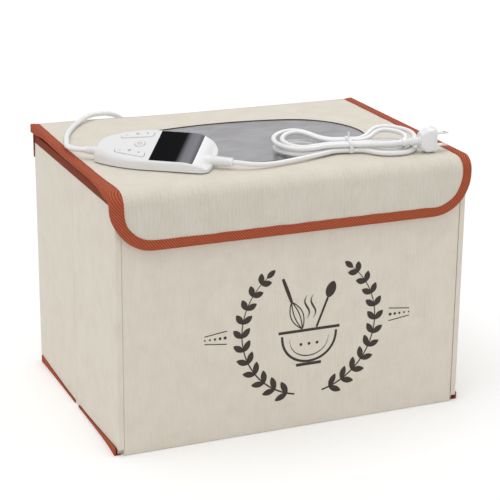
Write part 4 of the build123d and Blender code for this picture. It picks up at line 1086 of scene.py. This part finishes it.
def round_key(r):
    return [(46.0 + r * cos(2 * pi * k / 48), 0.6 + r * sin(2 * pi * k / 48)) for k in range(48)]


def joined(parts):
    """Several bmeshes in one."""
    whole = bmesh.new()
    for part in parts:
        held = bpy.data.meshes.new("held")
        part.to_mesh(held)
        part.free()
        whole.from_mesh(held)
        bpy.data.meshes.remove(held)
    return whole


bm = shell_of(part_of_skin(lambda u, v, w: w > -6.5 and not in_display(u, v, w)), 0.0016)
upper_shell = piece("upper_shell", bm, white_shell, crisp=50)
openings = piece("key openings", joined([
    prism(key_shape(1, 0.35), -5.0, 5.0, 3.0),
    prism(key_shape(-1, 0.35), -5.0, 5.0, 3.0),
    prism(round_key(5.35), -5.0, 5.0, 0.0),
]), white_shell)
cut = upper_shell.modifiers.new("key openings", "BOOLEAN")
cut.operation = "DIFFERENCE"
cut.solver = "EXACT"
cut.object = openings
cut_mesh = bpy.data.meshes.new_from_object(upper_shell.evaluated_get(bpy.context.evaluated_depsgraph_get()))
upper_shell.modifiers.clear()
upper_shell.data = cut_mesh
bpy.data.objects.remove(openings)
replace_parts(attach(upper_shell, "lid"), "handset_upper_shell")

for name, corners, round_by in (("upper_key", key_shape(1, -0.1), 2.8), ("lower_key", key_shape(-1, -0.1), 2.8),
                                ("power_key", round_key(4.95), 0.0)):
    bm = prism(corners, -2.3, 0.7, round_by)
    edges = [e for e in bm.edges if len(e.link_faces) == 2 and e.calc_face_angle() > 1.0]
    bmesh.ops.bevel(bm, geom=edges, offset=0.00045, segments=3, profile=0.5, affect="EDGES", material=-1)
    cap = piece(f"{name}_cap", bm, white_shell, crisp=50)
    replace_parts(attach(cap, name), name)

panel, tree, shader = finish("display panel", 0.4)
cells = pattern(tree, "ShaderNodeTexNoise", (200.0, 200.0, 200.0))
shades(tree, shader, cells.outputs["Fac"], [(0.4, (0.03, 0.04, 0.04)), (0.6, (0.05, 0.06, 0.06))])
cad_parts["display_module"].data.materials[0] = panel

laminate, tree, shader = finish("green laminate", 0.35)
tracks = pattern(tree, "ShaderNodeTexVoronoi", (220.0, 220.0, 220.0))
shades(tree, shader, tracks.outputs["Distance"], [(0.3, (0.01, 0.10, 0.03)), (0.5, (0.02, 0.20, 0.06))])
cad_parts["circuit_board"].data.materials[0] = laminate

rubber, tree, shader = finish("grey key rubber", 0.6)
bloom = pattern(tree, "ShaderNodeTexNoise", (400.0, 400.0, 400.0))
shades(tree, shader, bloom.outputs["Fac"], [(0.4, (0.22, 0.22, 0.23)), (0.6, (0.28, 0.28, 0.29))])
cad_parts["key_mat"].data.materials[0] = rubber

screw_zinc, tree, shader = finish("zinc screws", 0.3, 1.0)
turned = pattern(tree, "ShaderNodeTexNoise", (900.0, 900.0, 900.0))
shades(tree, shader, turned.outputs["Fac"], [(0.4, (0.60, 0.60, 0.62)), (0.6, (0.72, 0.72, 0.74))])
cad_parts["handset_screws"].data.materials[0] = screw_zinc

marking, tree, shader = finish("grey key marking", 0.6)
speck = pattern(tree, "ShaderNodeTexNoise", (800.0, 800.0, 800.0))
shades(tree, shader, speck.outputs["Fac"], [(0.4, (0.22, 0.22, 0.23)), (0.6, (0.30, 0.30, 0.31))])


def bar(bm, u, v, length, width, turn=0.0):
    """A short printed bar on the key tops."""
    def spot(across, along):
        a, b = (across - 0.5) * width, (along - 0.5) * length
        return on_face(u + b * cos(turn) - a * sin(turn), v + b * sin(turn) + a * cos(turn), 0.76)
    strip = laid("bar", 1, 4, spot)
    held = bpy.data.meshes.new("bar")
    strip.to_mesh(held)
    strip.free()
    bm.from_mesh(held)


def ring(bm, u, v, r, width, first=0.0, last=2 * pi):
    """A printed ring, or part of one."""
    def spot(across, along):
        angle = first + (last - first) * along
        reach = r + (across - 0.5) * width
        return on_face(u + reach * cos(angle), v + reach * sin(angle), 0.76)
    strip = laid("ring", 1, 28, spot)
    held = bpy.data.meshes.new("ring")
    strip.to_mesh(held)
    strip.free()
    bm.from_mesh(held)


for key, body, marks in (
    ("upper", "upper_key", ((28.9, 13.8), (39.4, 17.2), (49.0, 19.6))),
    ("lower", "lower_key", ((29.1, -13.7), (39.1, -13.1), (49.3, -15.3))),
):
    bm = bmesh.new()
    (u0, v0), (u1, v1), (u2, v2) = marks
    bar(bm, u0, v0, 2.6, 0.6)
    ring(bm, u1, v1, 1.3, 0.6)
    if key == "upper":
        bar(bm, u1, v1 + 0.9, 1.6, 0.5, pi / 2)
    else:
        bar(bm, u1, v1, 3.8, 0.5, 0.9)
    bar(bm, u2, v2, 2.6, 0.6)
    bar(bm, u2, v2, 2.6, 0.6, pi / 2)
    bmesh.ops.recalc_face_normals(bm, faces=bm.faces)
    if sum(f.normal.dot(hs_normal) for f in bm.faces) < 0:
        bmesh.ops.reverse_faces(bm, faces=bm.faces)
    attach(piece(f"{key}_key_marks", bm, marking), body)
bm = bmesh.new()
ring(bm, 46.0, 0.6, 2.0, 0.6, radians(40), radians(320))
bar(bm, 47.6, 0.6, 2.0, 0.6)
bmesh.ops.recalc_face_normals(bm, faces=bm.faces)
if sum(f.normal.dot(hs_normal) for f in bm.faces) < 0:
    bmesh.ops.reverse_faces(bm, faces=bm.faces)
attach(piece("power_key_mark", bm, marking), "power_key")


# ---------------------------------------------------------------------------------------------------------
# Heater lead: a limp round cord in white vinyl, from the handset's narrow end in a loose bow over the
# lid's rear edge, down behind the box and into the angled grommet low on the back wall.
# ---------------------------------------------------------------------------------------------------------
vinyl, tree, shader = finish("white vinyl", 0.38)
shader.inputs["Coat Weight"].default_value = 0.1
pull = pattern(tree, "ShaderNodeTexNoise", (90.0, 90.0, 90.0), Detail=3.0)
shades(tree, shader, pull.outputs["Fac"], [(0.3, (0.840, 0.840, 0.845)), (0.7, (0.880, 0.880, 0.885))])
relief(tree, shader, pull.outputs["Fac"], 0.00008)
for node in ("lead_relief", "lead_grommet", "mains_relief", "plug_body"):
    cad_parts[node].data.materials[0] = vinyl


def cord_line(name, points, diameter):
    """A round cord on one smooth spline, with the route's points as its control points."""
    line = bpy.data.curves.new(name, "CURVE")
    line.dimensions = "3D"
    spline = line.splines.new("NURBS")
    spline.points.add(len(points) - 1)
    for spot, place in zip(spline.points, points):
        spot.co = (*place, 1.0)
    spline.order_u = 3
    spline.use_endpoint_u = True
    line.resolution_u = 10
    line.bevel_depth = diameter / 2
    line.bevel_resolution = 4
    line.use_fill_caps = True
    line.materials.append(vinyl)
    made = bpy.data.objects.new(name, line)
    scene.collection.objects.link(made)
    return made


lead_exit = hs_base + Vector((0, 0, 0.0095)) - hs_along * 0.011
lead_route = [
    lead_exit,
    lead_exit - hs_along * 0.0062,
    (-0.1872, 0.0004, 0.2814),
    (-0.1891, 0.0069, 0.2811),
    (-0.1887, 0.0162, 0.2799),
    (-0.1867, 0.0300, 0.2770),
    (-0.1810, 0.0480, 0.2756),
    (-0.1735, 0.0740, 0.27485),
    (-0.1595, 0.1020, 0.27485),
    (-0.1440, 0.1240, 0.2756),
    (-0.1300, 0.1380, 0.2776),
    (-0.1186, 0.1440, 0.2776),
    (-0.1070, 0.1494, 0.2764),
    (-0.0960, 0.1538, 0.2736),
    (-0.0860, 0.1570, 0.2686),
    (-0.0775, 0.1588, 0.2605),
    (-0.0710, 0.1592, 0.2495),
    (-0.0662, 0.1592, 0.2360),
    (-0.0620, 0.1590, 0.2150),
    (-0.0575, 0.1585, 0.1850),
    (-0.0515, 0.1570, 0.1500),
    (-0.0440, 0.1543, 0.1150),
    (-0.0380, 0.1506, 0.0900),
    (-0.0350, 0.1477, 0.0680),
    (-0.0350, 0.1477, 0.0360),
]
lead_route = [Vector(spot) for spot in lead_route]
for spot in lead_route[5:15]:
    spot.z += corner_lift(spot.x, min(spot.y, lid_rear)) * 0.8
lead_line = cord_line("lead_line", lead_route, 0.0055)
lead_mesh = bpy.data.meshes.new_from_object(lead_line)
lead_line.data.bevel_depth = 0.0
lead_middle = bpy.data.meshes.new_from_object(lead_line)
bpy.data.objects.remove(lead_line)
lead_mesh.name = "heater_lead"
lead_mesh.shade_smooth()
heater_lead = bpy.data.objects.new("heater_lead", lead_mesh)
scene.collection.objects.link(heater_lead)
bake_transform(heater_lead)
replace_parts(heater_lead, "lead_top", "lead_back")


# ---------------------------------------------------------------------------------------------------------
# Mains cord: round white vinyl, from the handset's wide end along the front of the lid into a flat hank,
# folded in loops that fan out at both ends of a white wire tie, and out of it to the plug.
# ---------------------------------------------------------------------------------------------------------
mains_exit = hs_base + hs_along * 0.1415 + Vector((0, 0, 0.0073))
hank_turn = Matrix.Translation((0.085, -0.0699, 0.272)) @ Matrix.Rotation(radians(-15), 4, "Z")
row_low, row_high = 0.0033, 0.0089
waist_rows = [0.015, 0.009, 0.009, 0.003, 0.003, 0.003, 0.009, 0.009, 0.015]
entry = radians(35)
entry_way = Vector((cos(entry), sin(entry), 0))
entry_corner = Vector((-0.006 - 0.033 * tan(entry / 2), -0.015, row_low))
entry_bend = entry_corner - entry_way * 0.033 * tan(entry / 2)


def half_loop(side, layer, n):
    """Control points of one loop of the hank: in on one waist row, round the end, and out on the next."""
    rows = waist_rows[n], waist_rows[n + 1]
    y_in, y_out = -side * rows[0], side * rows[1]
    mean = (rows[0] + rows[1]) / 2
    middle = (y_in + y_out) / 2
    if side > 0:
        r, c = (0.0140, 0.0115)[layer] + 7 / 6 * mean, 0.0390 + mean / 6
    else:
        r, c = (0.0155, 0.0100)[layer] + 7 / 6 * mean, 0.0470 + mean / 3
    points = []
    for y, order in ((y_in, 1), (y_out, -1)):
        waist = 0.014 if (n == 4 and order == 1) or (n == 3 and order == -1) else 0.006
        spread = abs(y - middle)
        hollow = ((c - waist) ** 2 + spread ** 2 - r ** 2) / (2 * (r - spread))
        lean = atan2(c - waist, hollow + spread)
        way = 1 if y > 0 else -1
        knee = waist + hollow * tan(lean / 2)
        points.append((knee, y, way * lean, way))
    (knee_in, y_in, lean_in, way_in), (knee_out, y_out, lean_out, way_out) = points
    first = way_in * (pi / 2 + abs(lean_in))
    last = way_out * (pi / 2 + abs(lean_out))
    steps = 6
    step = (last - first) / steps
    reach = r / cos(step / 2)
    z = (row_low, row_high)[layer]
    spring = (0.0, 0.0062)[layer] + (0.0015 if n == 6 else 0.0)
    loop = [Vector((side * knee_in, y_in, z))]
    for k in range(steps):
        angle = first + step * (k + 0.5)
        out = max(0.0, cos(angle)) * (0.5 if side < 0 else 1.0)
        up = 0.5 + 0.5 * sin(angle)
        loop.append(Vector((side * (c + reach * cos(angle) + spring * out), middle + reach * sin(angle)
                            + spring * up * 0.9, z + spring * up)))
    loop.append(Vector((side * knee_out, y_out, z)))
    return loop


hank_route = [entry_bend - entry_way * 0.022, entry_bend, entry_corner, Vector((0, -0.015, row_low))]
for n in range(8):
    side = 1 if n % 2 == 0 else -1
    hank_route += half_loop(side, n // 4, n)
    if n < 7:
        z = (row_low + row_high) / 2 if n == 3 else (row_low, row_high)[n // 4]
        hank_route.append(Vector((0, side * waist_rows[n + 1], z)))
hank_route += [Vector((0, -0.015, row_high)), Vector((0.0115, -0.015, row_high))]
hank_world = [hank_turn @ point for point in hank_route]
plug_entry = Vector((0.1266, -0.1083, 0.28515))
mains_route = [
    mains_exit,
    mains_exit + hs_along * 0.0055,
    Vector((-0.0430, -0.1052, 0.2782)),
    Vector((-0.0330, -0.1062, 0.2766)),
    Vector((-0.0140, -0.1046, 0.2753)),
    Vector((0.0090, -0.0992, 0.2753)),
    *hank_world,
    plug_entry - Vector((0.0125, 0, 0)),
    plug_entry,
]
mains_cord = cord_line("mains_cord", mains_route, 0.005)
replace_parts(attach(mains_cord, "lid"), "mains_run", "mains_hank")

tie_paper, tree, shader = finish("white tie", 0.7)
creases = pattern(tree, "ShaderNodeTexNoise", (500.0, 500.0, 500.0))
shades(tree, shader, creases.outputs["Fac"], [(0.4, (0.80, 0.80, 0.80)), (0.6, (0.88, 0.88, 0.88))])
relief(tree, shader, creases.outputs["Fac"], 0.0001)
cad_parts["hank_tie"].data.materials[0] = tie_paper

nickel, tree, shader = finish("nickel plated blades", 0.25, 1.0)
drawn = pattern(tree, "ShaderNodeTexNoise", (30.0, 700.0, 700.0))
shades(tree, shader, drawn.outputs["Fac"], [(0.4, (0.70, 0.68, 0.64)), (0.6, (0.82, 0.80, 0.77))])
relief(tree, shader, drawn.outputs["Fac"], 0.00002)
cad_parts["plug_blades"].data.materials[0] = nickel


# ---------------------------------------------------------------------------------------------------------
# Front print: a plain kitchen motif in dark brown ink on the front wall, a mixing bowl with whisk and
# spoon inside two leafy branches, with rows of dots either side.
# ---------------------------------------------------------------------------------------------------------
ink, tree, shader = finish("dark brown ink", 0.75)
worn = pattern(tree, "ShaderNodeTexNoise", (350.0, 350.0, 350.0), Detail=3.0)
shades(tree, shader, worn.outputs["Fac"], [(0.35, (0.036, 0.020, 0.016)), (0.65, (0.062, 0.040, 0.032))])
print_bm = bmesh.new()
print_centre = (15.0, 110.0)
front_face_y = -0.1334


def on_front(x, z):
    """A place of the print, in millimetres from its centre, just proud of the front wall's cloth."""
    px, pz = (x + print_centre[0]) / 1000, (z + print_centre[1]) / 1000
    return Vector((px, front_face_y - cloth_wave(px, pz) - 0.00014, pz))


def stroke(path, half_width, steps=14):
    """A printed stroke along path(share), half_width(share) wide each side."""
    def spot(across, along):
        x, z = path(along)
        x1, z1 = path(min(1.0, along + 0.01))
        x0, z0 = path(max(0.0, along - 0.01))
        length = max(hypot(x1 - x0, z1 - z0), 1e-9)
        off = (2 * across - 1) * half_width(along)
        return on_front(x - off * (z1 - z0) / length, z + off * (x1 - x0) / length)
    strip = laid("stroke", 2, steps, spot)
    held = bpy.data.meshes.new("stroke")
    strip.to_mesh(held)
    strip.free()
    print_bm.from_mesh(held)


def leaf(x, z, angle, length, width):
    ex, ez = x + length * cos(angle), z + length * sin(angle)
    stroke(lambda t: (x + (ex - x) * t, z + (ez - z) * t), lambda t: width * sin(pi * t) ** 0.75 + 0.01)


def dot(x, z, r):
    stroke(lambda t: (x + r * (2 * t - 1), z), lambda t: r * sqrt(max(0.0, 1 - (2 * t - 1) ** 2)) + 0.01, 10)


for side in (-1, 1):
    branch = lambda t, side=side: (side * 74 * cos(radians(-78 + 128 * t)), 74 * sin(radians(-78 + 128 * t)))
    stroke(branch, lambda t: 0.9 - 0.5 * t, 40)
    for k in range(11):
        t = 0.05 + 0.09 * k
        x, z = branch(t)
        ahead = radians(-78 + 128 * t) + pi / 2
        for lean in (-0.75, 0.75):
            angle = ahead + lean
            angle = angle if side > 0 else pi - angle
            leaf(x, z, angle, 15.5 - 4 * t, 3.3)
    x, z = branch(1.0)
    leaf(x, z, radians(140) if side > 0 else radians(40), 12, 3.0)
    for k in range(5):
        dot(side * (92 + 5.4 * k), 0, 1.7 - 0.2 * k)
    stroke(lambda t, side=side: (side * (90 + 24 * t), 7 - 3 * t), lambda t: 0.5, 8)
    stroke(lambda t, side=side: (side * (90 + 24 * t), -7 + 3 * t), lambda t: 0.5, 8)

# bowl: rim, body and foot
stroke(lambda t: (-34 + 68 * t, -4), lambda t: 1.5, 20)
stroke(lambda t: (-30 * cos(pi * t), -8 - 30 * sin(pi * t) ** 0.9), lambda t: 1.3, 40)
stroke(lambda t: (-14 + 28 * t, -41), lambda t: 1.6, 10)
stroke(lambda t: (-24 * cos(pi * t) * 0.9, -12 - 20 * sin(pi * t) ** 0.9), lambda t: 0.5 * sin(pi * t) + 0.1, 30)
for k in range(3):
    dot(-9 + 9 * k, -19, 1.6)
# whisk, leaning left, and spoon, leaning right
for bow in (-7.5, -3.2, 3.2, 7.5):
    stroke(lambda t, bow=bow: (-8 - 12 * t + bow * sin(pi * t) ** 0.8 * 0.85, -2 + 30 * t + bow * 0.3 * sin(pi * t)),
           lambda t: 0.6, 24)
stroke(lambda t: (-20 - 10 * t, 28 + 26 * t), lambda t: 1.5 + 0.4 * sin(pi * t), 10)
stroke(lambda t: (8 + 12 * t, -2 + 30 * t), lambda t: 1.2, 12)
stroke(lambda t: (20 + 6.5 * t, 28 + 17 * t), lambda t: 5.4 * sin(pi * t) ** 0.6 + 0.1, 20)
# steam
for x in (-3, 4):
    stroke(lambda t, x=x: (x + 2.6 * sin(2 * pi * t), 8 + 26 * t), lambda t: 0.9 * sin(pi * t) + 0.1, 24)
bmesh.ops.recalc_face_normals(print_bm, faces=print_bm.faces)
for face in print_bm.faces:
    if face.normal.y > 0:
        face.normal_flip()
front_print = piece("front_print", print_bm, ink)
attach(front_print, "front_wall")
